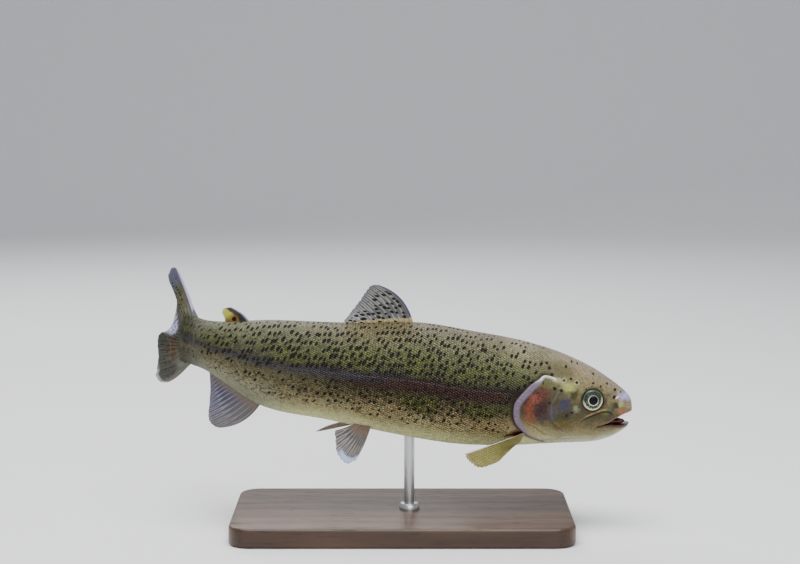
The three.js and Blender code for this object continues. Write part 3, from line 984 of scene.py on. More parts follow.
def bloom(paint, colour, s, share, rest):
    """The maroon and violet bloom of the dark band, and green and gold lights beside it."""
    patches = paint.noise(rest, 0.055, 2.0)
    rose = paint.span(share, 0.46, 0.57, 0.04) * paint.ease(s, 185.0, 120.0)
    violet = paint.span(share, 0.43, 0.52, 0.03) * paint.ease(s, 120.0, 165.0)
    grey = paint.span(share, 0.5, 0.68, 0.06) * paint.ease(s, 150.0, 195.0)
    green = paint.ease(patches, 0.42, 0.6) * paint.span(share, 0.22, 0.43, 0.05)
    ochre = paint.span(s, 128.0, 164.0, 9.0) * paint.ease(share + patches * 0.2, 0.32, 0.16)
    gold = paint.span(s, 66.0, 92.0, 9.0) * paint.span(share, 0.74, 0.87, 0.05)
    low_green = paint.ease(patches, 0.48, 0.62) * paint.span(share, 0.58, 0.74, 0.04)
    amber = paint.ease(patches, 0.55, 0.4) * paint.span(share, 0.66, 0.86, 0.06)
    return paint.layers(
        colour,
        ((0.052, 0.015, 0.016), rose * paint.ease(s, 62.0, 80.0) * 0.6),
        ((0.045, 0.042, 0.055), violet * 0.8),
        ((0.14, 0.125, 0.07), grey * 0.55),
        ((0.118, 0.132, 0.034), green * 0.36 * paint.ease(s, 70.0, 95.0)),
        ((0.15, 0.125, 0.058), ochre * 0.7),
        ((0.25, 0.185, 0.08), gold * 0.5),
        ((0.058, 0.07, 0.017), low_green * 0.75 * paint.ease(s, 150.0, 120.0)),
        ((0.26, 0.195, 0.09), amber * 0.3 * paint.ease(s, 230.0, 190.0)),
    )


print("ground colours:", len(FLANK_STOPS) + len(STALK_STOPS) + len(HEAD_STOPS), "stops")

# %% [markdown]
# ## Spots
# The dark spots are loose ovals two or three millimetres across. Placing hundreds by hand would be
# a list no one could read, so cell noise scatters them over the unrolled skin: a cell shows a spot
# only if its own random number is under the crowding wanted there. The crowding is high above the
# band, falls along the belly and thins towards the head. The head's few spots are placed one by one.

# %% Spots over the body
CELL = 2.8  # millimetres between neighbouring spots
TALL = 1.6  # how much taller than wide a spot is
LEAN = 0.3  # how far a spot's foot trails behind its head
DISORDER = 0.62  # of the cells: 0 would be a grid
SMALL_CELL = 3.8
SMALL_TALL = 1.15
BELOW_SEED = 31.7  # so that the spots below the band are another scatter


def spot_layer(paint, s, arc, size, crowding, spacing, tall, seed):
    """A scatter of leaning oval spots: 1 inside them."""
    along = s - arc.absolute() * LEAN
    flat = paint.vector(along / spacing + seed, arc / (spacing * tall) + seed * 0.7)
    shaken = paint.wobble(paint.vector(s, arc, seed), 0.5, 0.9, 2.0)
    moved = paint.offset(flat, paint.offset(shaken, paint.vector(s, arc, seed), -1.0), 1 / spacing)
    gap = paint.cells(moved, DISORDER) * spacing
    luck, girth, _ = paint.parts(paint.cells(moved, DISORDER, "Color"))
    inside = paint.ease(gap - size * (0.78 + girth * 0.42), 0.15, -0.15)
    return inside * paint.ease(crowding - luck, 0.0, 0.02)


def body_spots(paint, s, arc, share):
    """The spots of back, band and belly; they thin out towards the head and the belly."""
    to_head = paint.ease(s, 58.0, 110.0)
    to_tail = paint.ease(s, 120.0, 210.0)
    stalk = paint.ease(s, 195.0, 225.0)
    upper = paint.ease(share - stalk * 0.14, 0.47, 0.42)
    lower = paint.span(share, 0.56, 0.82, 0.05)
    size = 0.74 + to_head * 0.09 + to_tail * 0.06 - stalk * 0.15
    size = size + paint.span(share, 0.24, 0.42, 0.07) * 0.08 * (1.0 - stalk)
    size = size * (1.0 - paint.ease(share, 0.1, 0.0) * 0.3)
    crowding = upper * (0.52 + to_head * 0.4) * paint.ease(s, 50.0, 58.0)
    above = spot_layer(paint, s, arc, size, crowding, CELL, TALL, 0.0)
    fewer = lower * 0.85 + paint.span(share, 0.47, 0.56, 0.03) * 0.4
    fewer = fewer * paint.ease(s, 64.0, 74.0) * (1.0 - to_tail * 0.35)
    small = 0.92 - paint.ease(share, 0.64, 0.78) * 0.24 - to_tail * 0.14
    below = spot_layer(paint, s, arc, small, fewer, SMALL_CELL, SMALL_TALL, BELOW_SEED)
    return above.most(below)


HEAD_SPOTS = [  # place and radius
    (41.5, 9.8, 0.85), (34.2, 9.3, 0.85), (37.7, 11, 0.8), (41.1, 17, 0.75), (38, 19.8, 0.6),
    (34.7, 19.1, 0.55), (42.5, 4.2, 0.95), (46.1, 4.8, 1.0), (47.7, -3.5, 0.8), (25.1, 14.6, 0.65),
    (24.7, 9.9, 0.65), (20.2, 8.5, 0.7), (16.5, 10.4, 0.6), (11.6, 7.5, 0.8), (8.1, 6.4, 0.5),
    (28.4, 6.6, 0.5), (48.6, 11.9, 1.0), (50.4, 15.2, 1.0), (52.1, 17.7, 0.8), (55.2, 18.2, 0.6),
    (54.5, 14.9, 0.7), (57.7, 6.4, 0.75), (56.4, 22.5, 0.6), (37.2, -9.4, 0.6), (34.5, -7.5, 0.7),
]


def head_spots(paint, place):
    """The head's own spots, and the pale halos of the two above the cheek."""
    loose = paint.wobble(place, 0.8, 1.0, 2.0)

    def joined(spots, wider, soft):
        dots = [paint.dot(loose, (s, h, 0), radius + wider, soft) for s, h, radius in spots]
        return functools.reduce(Field.most, dots)

    return joined(HEAD_SPOTS, 0, 0.28), joined(HEAD_SPOTS[:2], 0.5, 0.5)


print("spots on each side of the head:", len(HEAD_SPOTS))

# %% [markdown]
# ## The head's patches
# A trout's cheek and gill cover are thin skin over bone and blood, so they show red-brown, violet
# and brassy green patches with no sharp edges. Each is a soft oval placed in side view. The rim
# of the gill cover is a lilac-white band whose width follows the distance to the rim line.

# %% Patches and lines of the head
CHEEK_PATCHES = [
    ((54.5, -6.0), (9.5, 12.0), (0.085, 0.042, 0.031), 0.9),
    ((56.0, -2.0), (5.2, 4.6), (0.29, 0.095, 0.07), 0.8),
    ((58.2, -7.5), (3.8, 5.4), (0.27, 0.078, 0.042), 0.85),
    ((57.0, -13.4), (5.0, 4.8), (0.235, 0.095, 0.05), 0.8),
    ((52.0, -7.5), (5.0, 5.8), (0.032, 0.02, 0.027), 0.9),
    ((52.0, 1.6), (5.4, 3.8), (0.14, 0.05, 0.042), 0.8),
    ((50.0, -12.5), (4.4, 4.0), (0.07, 0.046, 0.055), 0.8),
    ((45.3, -9.0), (4.2, 7.5), (0.09, 0.076, 0.095), 0.85),
    ((46.5, -15.2), (5.0, 3.2), (0.20, 0.135, 0.085), 0.75),
    ((46.6, 0.2), (2.8, 6.0), (0.10, 0.072, 0.055), 0.7),
    ((39.3, -3.4), (4.8, 5.6), (0.055, 0.055, 0.105), 0.85),
    ((37.1, -9.4), (3.6, 3.2), (0.045, 0.034, 0.045), 0.75),
    ((43.0, 2.5), (4.0, 3.5), (0.075, 0.07, 0.055), 0.6),
    ((38.0, 6.9), (6.0, 4.6), (0.34, 0.37, 0.13), 0.9),
    ((44.8, 9.2), (5.5, 2.4), (0.42, 0.41, 0.21), 0.8),
    ((34.6, 2.6), (3.4, 4.4), (0.042, 0.042, 0.022), 0.85),
    ((32.8, -5.0), (2.8, 3.0), (0.25, 0.30, 0.19), 0.8),
    ((31.0, -10.5), (4.5, 3.0), (0.085, 0.075, 0.04), 0.6),
    ((40.0, -15.5), (12.0, 4.2), (0.15, 0.11, 0.045), 0.8),
    ((24.0, -17.8), (8.0, 2.8), (0.26, 0.22, 0.105), 0.8),
    ((12.0, -3.8), (3.6, 3.4), (0.11, 0.125, 0.09), 0.75),
    ((16.2, -5.0), (3.0, 3.2), (0.17, 0.19, 0.06), 0.8),
    ((17.6, -0.6), (3.0, 5.4), (0.07, 0.046, 0.032), 0.85),
    ((10.4, -0.6), (3.8, 2.8), (0.05, 0.034, 0.022), 0.85),
    ((14.2, 4.2), (2.2, 2.4), (0.06, 0.055, 0.045), 0.6),
    ((7.0, -0.2), (2.0, 3.8), (0.36, 0.35, 0.21), 0.8),
    ((14.5, 5.0), (5.0, 3.4), (0.15, 0.135, 0.10), 0.6),
    # painted highlight: the lilac-blue sheen along the top of the snout
    ((4.6, 4.6), (6.4, 3.6), (0.42, 0.39, 0.66), 0.85),
    ((46.0, 14.5), (15.0, 6.5), (0.125, 0.11, 0.06), 0.85),
    ((2.6, -0.6), (3.6, 2.6), (0.36, 0.26, 0.22), 0.6),
    ((5.2, -4.2), (6.4, 2.4), (0.33, 0.15, 0.085), 0.8),
]


def head_colours(paint, colour, s, place):
    """The soft patches of cheek and snout, with a painted highlight atop the snout, and the veins of the
    gill cover.
    """
    cheek = paint.ease(s, 70.0, 60.0)
    loose = paint.wobble(place, 0.3, 5.5, 5.0)
    for centre, radii, tint, strength in CHEEK_PATCHES:
        colour = paint.blend(colour, tint, paint.patch(loose, centre, radii) * (strength * cheek))
    veins = paint.ease(paint.noise(place, 0.8, 4.0, 0.7), 0.46, 0.6)
    veins = veins * paint.patch(place, (54.0, -5.0), (10.5, 13.0))
    return paint.blend(colour, (0.085, 0.028, 0.025), veins * 0.85)


def head_grain(paint, colour, s, h, rest):
    """Fine brown and brass mottling of skin and scales alike, gone behind the nape."""
    fade = paint.ease(s, 86.0, 58.0)
    above = paint.ease(h, -21.0, -16.0)
    mottle = paint.noise(rest, 0.6, 4.0, 0.65) - 0.5
    colour = paint.shade(colour, 1.0 + mottle * fade * 0.7)
    brass = paint.ease(paint.noise(rest, 1.3, 3.0, 0.6), 0.55, 0.7) * above
    colour = paint.blend(colour, (0.26, 0.24, 0.10), brass * fade * 0.25)
    dusk = paint.ease(paint.noise(rest, 0.9, 3.0, 0.6), 0.5, 0.34) * above
    return paint.blend(colour, (0.055, 0.048, 0.027), dusk * fade * 0.4)


def rim_colours(paint, colour, s, h, rim):
    """The pale lilac band inside the gill rim, and a painted shadow in the step behind it."""
    width = 1.3 + paint.ease(h, 11.0, 3.0) * 2.1 - paint.ease(h, -16.0, -24.0) * 1.5
    inside = paint.ease(rim, -0.2, 0.15)
    ragged = paint.noise(paint.vector(rim * 0.5, h), 0.9, 3.0) - 0.5
    band = inside * paint.ease(rim - width + ragged * 1.6, 1.0, -0.8) * paint.ease(s, 44.5, 47.5)
    pearl = paint.blend((0.27, 0.21, 0.275), (0.80, 0.80, 0.74), paint.ease(h, 6.0, 10.0))
    pearl = paint.shade(pearl, 0.8 + ragged * 0.9)
    shadow = paint.ease(rim, -2.6, -0.4) * paint.ease(rim, 0.1, -0.3) * paint.ease(s, 46.0, 52.0)
    return paint.layers(colour, (pearl, band * 0.9), ((0.03, 0.02, 0.02), shadow * 0.8))


def bone_colours(paint, colour, s, h, cheek_line, bone, seam):
    """Shadow and shine along the cheek bone, the seams of the gill cover and the jaw bone."""
    along = paint.span(s, 46.0, 59.0, 1.2)
    over = paint.ease(h + 7.0 + (s - 12.0) * 0.5, -1.5, 1.5)
    under_bone = paint.line(bone - 0.2, 0.9) * (over * 0.8 + 0.04) * paint.ease(s, 30.0, 24.0)
    shine = paint.line(bone + 1.2, 0.8) * over * paint.span(s, 15.0, 26.0, 2.0)
    return paint.layers(
        colour,
        ((0.07, 0.06, 0.05), paint.line(cheek_line, 1.0) * 0.3),
        ((0.24, 0.21, 0.17), paint.line(cheek_line - 1.3, 0.9) * 0.15),
        ((0.46, 0.34, 0.13), paint.line(seam - 0.6, 0.6) * along * 0.42),
        ((0.09, 0.055, 0.03), paint.line(seam, 0.5) * along * 0.6),
        ((0.035, 0.026, 0.016), under_bone),
        ((0.50, 0.33, 0.14), shine * 0.7),
    )


def nostril_flap_highlight(paint, s, h):
    """1 over the small flap of skin that leans forward over the nostril, painted pale as a highlight."""
    forward, up = s - NOSTRIL_AT[0] + 1.7, h - NOSTRIL_AT[1] - 0.1
    ahead = forward * -0.86 + up * 0.5
    aside = forward * 0.5 + up * 0.86
    return paint.patch(paint.vector(ahead, aside), (0.0, 0.0), (2.0, 0.85))


def line_colours(paint, colour, s, h, cheek_line, bone, lips, spots):
    lip, seam, fold = paint.parts(lips)
    eye, nostril, breast = paint.parts(spots)
    colour = bone_colours(paint, colour, s, h, cheek_line, bone, seam)
    jaw = paint.ease(h + 7.2 + s * 0.37, 0.6, -0.6)
    lips_tint = paint.blend((0.33, 0.18, 0.12), (0.10, 0.046, 0.05), jaw)
    reach = jaw * (paint.ease(s, 15.0, 4.0) * 1.9 - 0.3) + 1.5
    uneven = paint.noise(paint.vector(s, h), 0.45, 3.0, 0.6)
    socket = paint.span(eye, 6.4, 8.4, 0.8) * paint.ease(uneven, 0.36, 0.62)
    return paint.layers(
        colour,
        (lips_tint, paint.line(lip, reach) * 0.8),
        ((0.24, 0.225, 0.15), paint.line(fold, 0.9) * 0.6),
        # painted shade: a dark ring in the hollow round the edge of the eye socket
        ((0.04, 0.033, 0.022), paint.span(eye, 5.4, 6.7, 0.6) * 0.8),
        ((0.075, 0.05, 0.035), socket * 0.6),
        # painted shade: the nostril's pit is painted nearly black
        ((0.012, 0.010, 0.010), paint.ease(nostril, 1.25, 0.8)),
        # painted highlight: the flap over the nostril is painted pale pink, as where it catches the
        # light
        ((0.78, 0.60, 0.70), nostril_flap_highlight(paint, s, h) * 0.9),
        ((0.07, 0.01, 0.01), paint.line(breast, 2.0) * 0.95),
    )


print("patches on the cheek:", len(CHEEK_PATCHES))

# %% [markdown]
# ## Putting the finish together
# Skin and scales differ only in their gloss and their finest grain: bare skin is smooth and wet,
# while each scale has its own tint, kept in an attribute that every point of the scale shares.

# %% The trout finish
def speckled(paint, colour, share, body, grain, fine, coarse, tint):
    """The fine light and dark grain that pigment cells and single scales give, with painted glints on
    the upper flank.
    """
    speckle = (fine - 0.5) * 1.2 + (coarse - 0.5) * 0.4 + (grain - 0.5) * 0.5 + (tint - 0.5) * 0.25
    colour = paint.shade(colour, 1.0 + speckle)
    low = paint.ease(share, 0.5, 0.62)
    fleck = paint.ease(fine + (tint - 0.5) * 0.25 + (coarse - 0.5) * 0.1, 0.54, 0.7)
    fleck = fleck * paint.span(share, 0.6, 0.9, 0.07) * body
    # Painted glints: pale green-gold specks of the scales' shine over the upper flank.
    painted_glint = paint.ease(fine + (tint - 0.5) * 0.2, 0.56, 0.72) * paint.span(share, 0.0, 0.42, 0.04)
    dusk = paint.ease(fine + (tint - 0.5) * 0.3 + (coarse - 0.5) * 0.2, 0.46, 0.32)
    dusk = dusk * paint.span(share, 0.1, 0.84, 0.05) * body
    return paint.layers(
        colour,
        ((0.36, 0.27, 0.13), fleck * 0.42),
        ((0.26, 0.28, 0.11), painted_glint * body * 0.3),
        ((0.018, 0.015, 0.010), dusk * (0.4 + low * 0.3)),
    )


AXIL = ((62.6, -23.6), (5.4, 3.4))  # the raw patch behind the throat: its middle and radii


def trout_colours(paint, on_scales, s, h, arc, share, rest, grain):
    """Every marking of the trout, from the ground up."""
    place = paint.vector(s, h)
    colour = ground(paint, s, share, rest)
    colour = bloom(paint, colour, s, share, rest)
    fine = paint.noise(rest, 2.1, 2.0, 0.6)
    coarse = paint.noise(rest, 0.42, 3.0, 0.6)
    tint = paint.amount("tint") if on_scales else paint.noise(rest, 1.6, 1.0)
    body = paint.ease(s, 56.0, 80.0)
    colour = speckled(paint, colour, share, body, grain, fine, coarse, tint)
    lateral = paint.line(share - 0.47, 0.012) * paint.ease(s, 66.0, 74.0)
    colour = paint.blend(colour, (0.10, 0.08, 0.08), lateral * 0.4)
    if not on_scales:
        colour = head_colours(paint, colour, s, place)
    colour = head_grain(paint, colour, s, h, rest)
    axil = paint.patch(paint.wobble(place, 0.5, 1.2), *AXIL)
    colour = paint.blend(colour, (0.085, 0.011, 0.009), axil * 0.95)
    # Painted highlight: a lilac sheen along the ridge of the back, from the head to the middle of the
    # body.
    painted_ridge_highlight = paint.ease(arc.absolute(), 2.4, 0.5) * paint.ease(s, 130.0, 60.0)
    colour = paint.blend(colour, (0.33, 0.29, 0.40), painted_ridge_highlight * 0.35)
    spots = body_spots(paint, s, arc, share)
    if not on_scales:
        ink, halo = head_spots(paint, place)
        colour = paint.blend(colour, (0.48, 0.47, 0.31), halo * 0.55)
        spots = spots.most(ink)
    colour = paint.blend(colour, SPOT_INK, spots * 0.95)
    rim, cheek_line, bone = paint.parts(paint.attribute("edges"))
    colour = rim_colours(paint, colour, s, h, rim)
    if on_scales:
        return colour
    lips, marks = paint.attribute("lips"), paint.attribute("spots")
    return line_colours(paint, colour, s, h, cheek_line, bone, lips, marks)


def trout_finish(material, on_scales):
    paint = Paint(material, Specular_IOR_Level=0.2, Coat_Roughness=0.14, IOR=1.4)
    rest = paint.attribute("rest")
    s, _, h = paint.parts(rest)
    _, arc, share = paint.parts(paint.attribute("flank"))
    grain = paint.noise(rest, 1.1, 3.0, 0.7)
    colour = trout_colours(paint, on_scales, s, h, arc, share, rest, grain)
    dull = paint.ease(s, 238.0, 264.0)
    rough = (0.36 + grain * 0.16 if on_scales else 0.34 + grain * 0.14) + dull * 0.34
    silver = paint.span(share, 0.6, 0.95, 0.1) * (1.0 - dull) * (0.14 if on_scales else 0.08)
    wrinkles = paint.noise(rest, 0.9, 4.0, 0.6) + paint.noise(rest, 3.2, 2.0) * 0.35
    depth = 0.00006 if on_scales else 0.00015
    return paint.finish(colour, rough, wrinkles, depth, 0.8, Metallic=silver,
                        Coat_Weight=(0.08 + grain * 0.12) * (1.0 - dull))


trout_finish(skin_material, on_scales=False)
coat_material = trout_finish("trout_scales", on_scales=True)
print("skin finish:", len(skin_material.node_tree.nodes), "nodes; scale finish:",
      len(coat_material.node_tree.nodes))

# %% [markdown]
# ## The coat of scales
# A trout's scales are small, thin shields that overlap backwards like roof tiles, in rows that run
# round the body and shrink towards the tail. Geometry Nodes could instance them, but the coat is
# kept as plain joined meshes: one shield of thirteen points is worked out for every place at once,
# with arrays. Each shield is closed, crowned in the middle, buried at its root and lifted at its tip.

# %% One shield, and where the shields go
SCALES_AROUND = 116
SHIELD = np.array([  # along the body, across it, and lift in millimetres
    (0.0, -0.5, -0.08), (0.0, 0.5, -0.08), (0.34, 0.98, 0.0), (0.62, 1.0, 0.026),
    (0.83, 0.8, 0.044), (0.96, 0.4, 0.052), (1.0, 0.0, 0.056), (0.96, -0.4, 0.052),
    (0.83, -0.8, 0.044), (0.62, -1.0, 0.026), (0.34, -0.98, 0.0),
    (0.3, 0.0, 0.028), (0.72, 0.0, 0.064),
])
LOW_CROWN, HIGH_CROWN = 11, 12
SHIELD_TOP = ([(a, b, LOW_CROWN) for a, b in ((0, 1), (1, 2), (2, 3), (9, 10), (10, 0))]
              + [(a, a + 1, HIGH_CROWN) for a in range(3, 9)]
              + [(3, HIGH_CROWN, LOW_CROWN), (HIGH_CROWN, 9, LOW_CROWN)])
SHIELD_BACK = [(0, b + 1, b) for b in range(1, 10)]
SHIELD_FACES = np.array(SHIELD_TOP + SHIELD_BACK)
COAT_PIECES = 4
FIRST_SCALE = 47.0
LAST_SCALE = 280.5
SCALE_LENGTH = 1.75  # in pitches, so that each scale is overlapped by the next two rings
SCALE_HALF = 0.64  # half its width, in steps round the body
UNEVEN = 0.09  # how far a scale strays from its place, in millimetres and in steps
PATCH = 0.003  # the side of a scale's own patch in the unwrap


def scale_pitch(s):
    return mix(1.42, 1.0, ramp(s, 150, 262))


def scale_roots(rng):
    """Roots of all scales, as (s, share): staggered rings, each a pitch behind the last."""
    roots = []
    s, ring = FIRST_SCALE, 0
    while s < LAST_SCALE:
        shares = (np.arange(SCALES_AROUND) + 0.5 * (ring % 2)) / SCALES_AROUND * 2 - 1
        jitter = rng.normal(0, UNEVEN, SCALES_AROUND)
        roots.append(np.stack([s + jitter, shares], axis=1))
        s += float(scale_pitch(s))
        ring += 1
    roots = np.concatenate(roots)
    wrap = wrap_of(roots[:, 0], angle_at(*roots.T))
    luck = rng.uniform(0, 1, len(roots))
    start = scales_start(wrap) + luck**2 * 7 * ramp(wrap, 19, 27)
    ending = luck < 1 - 0.9 * ramp(roots[:, 0], 268, 281)
    return roots[(roots[:, 0] > start) & ending]


rng = np.random.default_rng(7)
roots = scale_roots(rng)
print("scales:", len(roots), "triangles each:", len(SHIELD_FACES))

# %% Shields laid on the skin, in joined pieces


def shield_points(roots, rng):
    """The straight points of every scale of a piece, as (s, share, lift), and how settled it is."""
    count = len(roots)
    s, share = roots[:, :1], roots[:, 1:]
    length = scale_pitch(s) * SCALE_LENGTH
    sway = rng.normal(0, UNEVEN, (count, 1))
    lift = SHIELD[:, 2] * rng.uniform(0.85, 1.2, (count, 1)) * ramp(s, 284, 240).clip(0.2, 1)
    start = scales_start(wrap_of(s, angle_at(s, share)))
    settled = ramp(s, start, start + 30)
    lift = lift * mix(0.06, 1.0, settled)
    along = s + SHIELD[:, 0] * length
    across = share + (SHIELD[:, 1] * SCALE_HALF + sway * SHIELD[:, 0]) * (2 / SCALES_AROUND)
    across = (across + 1) % 2 - 1
    return along.ravel(), across.ravel(), lift.ravel(), settled[:, 0]


def coat_piece(name, roots, rng):
    count = len(roots)
    s, share, lift, settled = shield_points(roots, rng)
    y, h = on_skin(s, share, lift)
    mesh = bpy.data.meshes.new(name)
    faces = (SHIELD_FACES[None] + np.arange(count)[:, None, None] * len(SHIELD)).reshape(-1, 3)
    mesh.from_pydata(placed(s, y, h), [], faces)
    found = head_distances(s, wrap_of(s, angle_at(s, share)))
    give(mesh, "rest", s, y, h)
    give(mesh, "flank", s, share * half_girth(s), height_share(s, h))
    give(mesh, "edges", found["rim"], found["cheek"], found["bone"])
    tints = 0.5 + rng.uniform(-0.5, 0.5, count) * mix(0.15, 1.0, settled)
    give(mesh, "tint", np.repeat(tints, len(SHIELD)))
    unwrap_patches(mesh, roots, count)
    mesh.shade_smooth()
    mesh.materials.append(coat_material)
    piece = add_object(name, mesh)
    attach(piece, BODY)
    return piece


def unwrap_patches(mesh, roots, count):
    """Each scale is a small patch at its root's place on the unrolled skin of its piece."""
    s, share = roots.T
    u = mix(PATCH, 1 - 2 * PATCH, (share + 1) / 2)
    v = mix(PATCH, 1 - 2 * PATCH, (s - s.min()) / np.ptp(s))
    points = np.stack([
        np.repeat(u, len(SHIELD)) + np.tile((SHIELD[:, 1] + 1) / 2 * PATCH, count),
        np.repeat(v, len(SHIELD)) + np.tile(SHIELD[:, 0] * PATCH, count),
    ], axis=1)
    corners = np.empty(len(mesh.loops), np.int32)
    mesh.loops.foreach_get("vertex_index", corners)
    layer = mesh.uv_layers.new(name="OFBake")
    layer.uv.foreach_set("vector", points[corners].astype(np.float32).ravel())


def make_coat(roots, rng):
    """Shares the scales out over the pieces, from the head to the tail."""
    order = np.argsort(roots[:, 0], kind="stable")
    pieces = []
    for number, share in enumerate(np.array_split(order, COAT_PIECES)):
        pieces.append(coat_piece(f"scales_{number + 1}", roots[share], rng))
    return pieces


coat = make_coat(roots, rng)
print("coat:", {piece.name: len(piece.data.polygons) for piece in coat})

# %% [markdown]
# ## Eyes
# A trout's eye is a nearly flat dome: a black pupil, a narrow bright ring, a mottled dark iris and
# a pale rim that shows below and in front. The dome is a profile spun about the line of sight. Its
# pattern is painted by the distance from that line, stored on its points, and a glassy top coat
# stands for the cornea.

# %% Eyeballs
EYE_PROFILE = [(0, 1.7), (0.9, 1.68), (1.8, 1.58), (2.7, 1.4), (3.6, 1.12), (4.4, 0.76), (5.1, 0.32),
               (5.6, -0.14), (5.88, -0.7), (5.95, -1.5), (5.6, -2.8), (4.6, -3.9), (2.6, -4.7),
               (0, -4.9)]


def eye_finish():
    paint = Paint("eye_glass", Roughness=0.3, Coat_Weight=0.4, Coat_Roughness=0.02, IOR=1.34,
                  Specular_IOR_Level=0.15)
    forward, up, reach = paint.parts(paint.attribute("iris"))
    place = paint.vector(forward, up)
    mottled = paint.noise(place, 1.3, 4.0, 0.65)
    rays = paint.noise(paint.vector(forward / (reach + 0.3), up / (reach + 0.3)), 7.0, 2.0)
    lower = paint.ease(up - forward * 0.32, 2.4, -2.4)
    iris = paint.blend((0.018, 0.026, 0.02), (0.085, 0.115, 0.07), paint.ease(mottled, 0.42, 0.68))
    pale = paint.blend((0.085, 0.11, 0.085), (0.74, 0.74, 0.55), lower)
    wide = 5.0 - lower * 0.35 + (mottled - 0.5) * -1.4
    bright = paint.ease(up + forward * 0.4, 2.4, -1.6)
    ring = paint.blend((0.26, 0.29, 0.17), (0.84, 0.83, 0.58), bright)
    eye = paint.layers(
        iris,
        ((0.30, 0.33, 0.20), paint.ease(rays, 0.56, 0.72) * (0.2 + lower * 0.5)),
        ((0.36, 0.40, 0.27), lower * paint.ease(mottled, 0.45, 0.66) * 0.5),
        (pale, paint.ease(reach - wide, -0.2, 0.3) * 0.88),
        ((0.03, 0.03, 0.025), paint.ease(reach, 5.6, 5.95)),
        (ring, paint.span(reach + (rays - 0.5) * 0.5, 2.55, 2.95, 0.16) * 0.9),
        ((0.005, 0.004, 0.010), paint.ease(reach, 2.62, 2.42)),
    )
    return paint.finish(eye, bump=mottled, bump_depth=0.00004)


def make_eye(side, name, material):
    profile = hermite(np.arange(len(EYE_PROFILE)), EYE_PROFILE, np.linspace(0, len(EYE_PROFILE) - 1, 40))
    bm = spun(profile, 72)
    local = np.array([v.co for v in bm.verts])
    bmesh.ops.transform(bm, matrix=eye_frame(side), verts=bm.verts)
    mesh = mesh_of(name, bm)
    give(mesh, "iris", local[:, 1] * -side, local[:, 2], np.hypot(local[:, 1], local[:, 2]))
    points = points_of(mesh)
    set_points(mesh, placed(-points[:, 0], points[:, 1], points[:, 2]))
    mesh.shade_smooth()
    mesh.materials.append(material)
    eye = add_object(name, mesh)
    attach(eye, BODY)
    return eye


eye_material = eye_finish()
for side, word in ((-1, "right"), (1, "left")):
    eye = make_eye(side, f"eyeball_{word}", eye_material)
    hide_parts(f"eye_{word}")
print("eyeballs:", len(eye.data.polygons), "faces each")

# %% [markdown]
# ## Mouth and tongue
# The mouth is lined with wet, dark red skin, and a thick tongue fills its floor. The tongue starts
# as a sphere and is flattened, narrowed to the front and creased along its middle by moving its
# points. The lining is the cut wall of the skin, so it only needs its finish.

# %% Lining, sockets and tongue


def wet_flesh(material, deep, pale, pale_amount):
    """Wet, blotched and finely folded flesh."""
    paint = Paint(material, Roughness=0.3, Coat_Weight=0.5, Coat_Roughness=0.15)
    place = paint.node("ShaderNodeTexCoord", output="Object")
    blotches = paint.noise(place, 500.0, 4.0, 0.6)
    folds = paint.noise(place, 1600.0, 3.0)
    colour = paint.blend(deep, pale, paint.ease(blotches, 0.4, 0.72) * pale_amount)
    return paint.finish(colour, 0.22 + folds * 0.25, blotches + folds * 0.4, 0.0003)


wet_flesh(mouth_material, (0.05, 0.007, 0.006), (0.19, 0.04, 0.026), 0.8)
wet_flesh(socket_material, (0.02, 0.015, 0.012), (0.07, 0.05, 0.035), 0.6)
tongue_material = wet_flesh("tongue_flesh", (0.07, 0.014, 0.014), (0.22, 0.09, 0.075), 0.7)
TONGUE = {"s": 8.8, "h": -11.3, "length": 13, "width": 6.6, "height": 3.4, "slope": -9}


def make_tongue():
    """A sphere pressed into a tongue, laid on the floor of the mouth."""
    bm = bmesh.new()
    bmesh.ops.create_uvsphere(bm, u_segments=48, v_segments=32, radius=1)
    for vert in bm.verts:
        forward, across, up = vert.co
        narrow = 1 - 0.16 * forward - 0.1 * forward**2
        crease = 0.16 * math.exp(-((across / 0.22) ** 2)) * max(up, 0)
        vert.co = (forward * TONGUE["length"] / 2, across * narrow * TONGUE["width"] / 2,
                   (up - crease) * (1 + 0.12 * forward) * TONGUE["height"] / 2)
    slope = Matrix.Rotation(math.radians(TONGUE["slope"]), 4, "Y")
    bmesh.ops.transform(bm, matrix=slope, verts=bm.verts)
    points = np.array([v.co for v in bm.verts])
    s, y, h = TONGUE["s"] - points[:, 0], points[:, 1], points[:, 2] + TONGUE["h"]
    move_to(bm, placed(s, y, h))
    tongue = add_object("tongue_body", smooth_mesh("tongue_body", bm))
    tongue.data.materials.append(tongue_material)
    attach(tongue, BODY)
    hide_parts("tongue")
    return tongue


tongue = make_tongue()
print("tongue:", len(tongue.data.polygons), "faces")

# %% [markdown]
# ## Fins
# A fin is a fan of bony rays joined by thin skin. The rays split towards the margin, so the edge is
# finely scalloped, and the root is thick and fleshy. Each fin is one closed sheet: a grid goes up
# one face and down the other, thick on a ray and thin between rays. A flat sheet with a bump map
# would lose the scallops and the light that catches the rays.

# %% The sheet of a fin
def through(knots, u):
    """A smooth curve through (s, y, h) knots, evenly spaced or placed by a first number."""
    knots = np.array(knots, float)
    at = knots[:, 0] if knots.shape[1] == 4 else np.linspace(0, 1, len(knots))
    return hermite(at, knots[:, -3:], u)


def fan(roots, middles, tips):
    """A fan of curved rays: u runs from the first ray to the last, v from root to tip."""

    def ray(u, v):
        root, middle, tip = (through(knots, u) for knots in (roots, middles, tips))
        v = v[:, None]
        return root * (1 - v) ** 2 + middle * 2 * v * (1 - v) + tip * v * v

    return ray


def clearance(points):
    """About how many millimetres a straight point stands outside the body."""
    s, y, h = np.moveaxis(points, -1, 0)
    level = outline("level", s)
    reach = reach_of(s, level, h > level)
    return (np.hypot(y / outline("half", s), (h - level) / reach) - 1) * np.minimum(reach, 14)


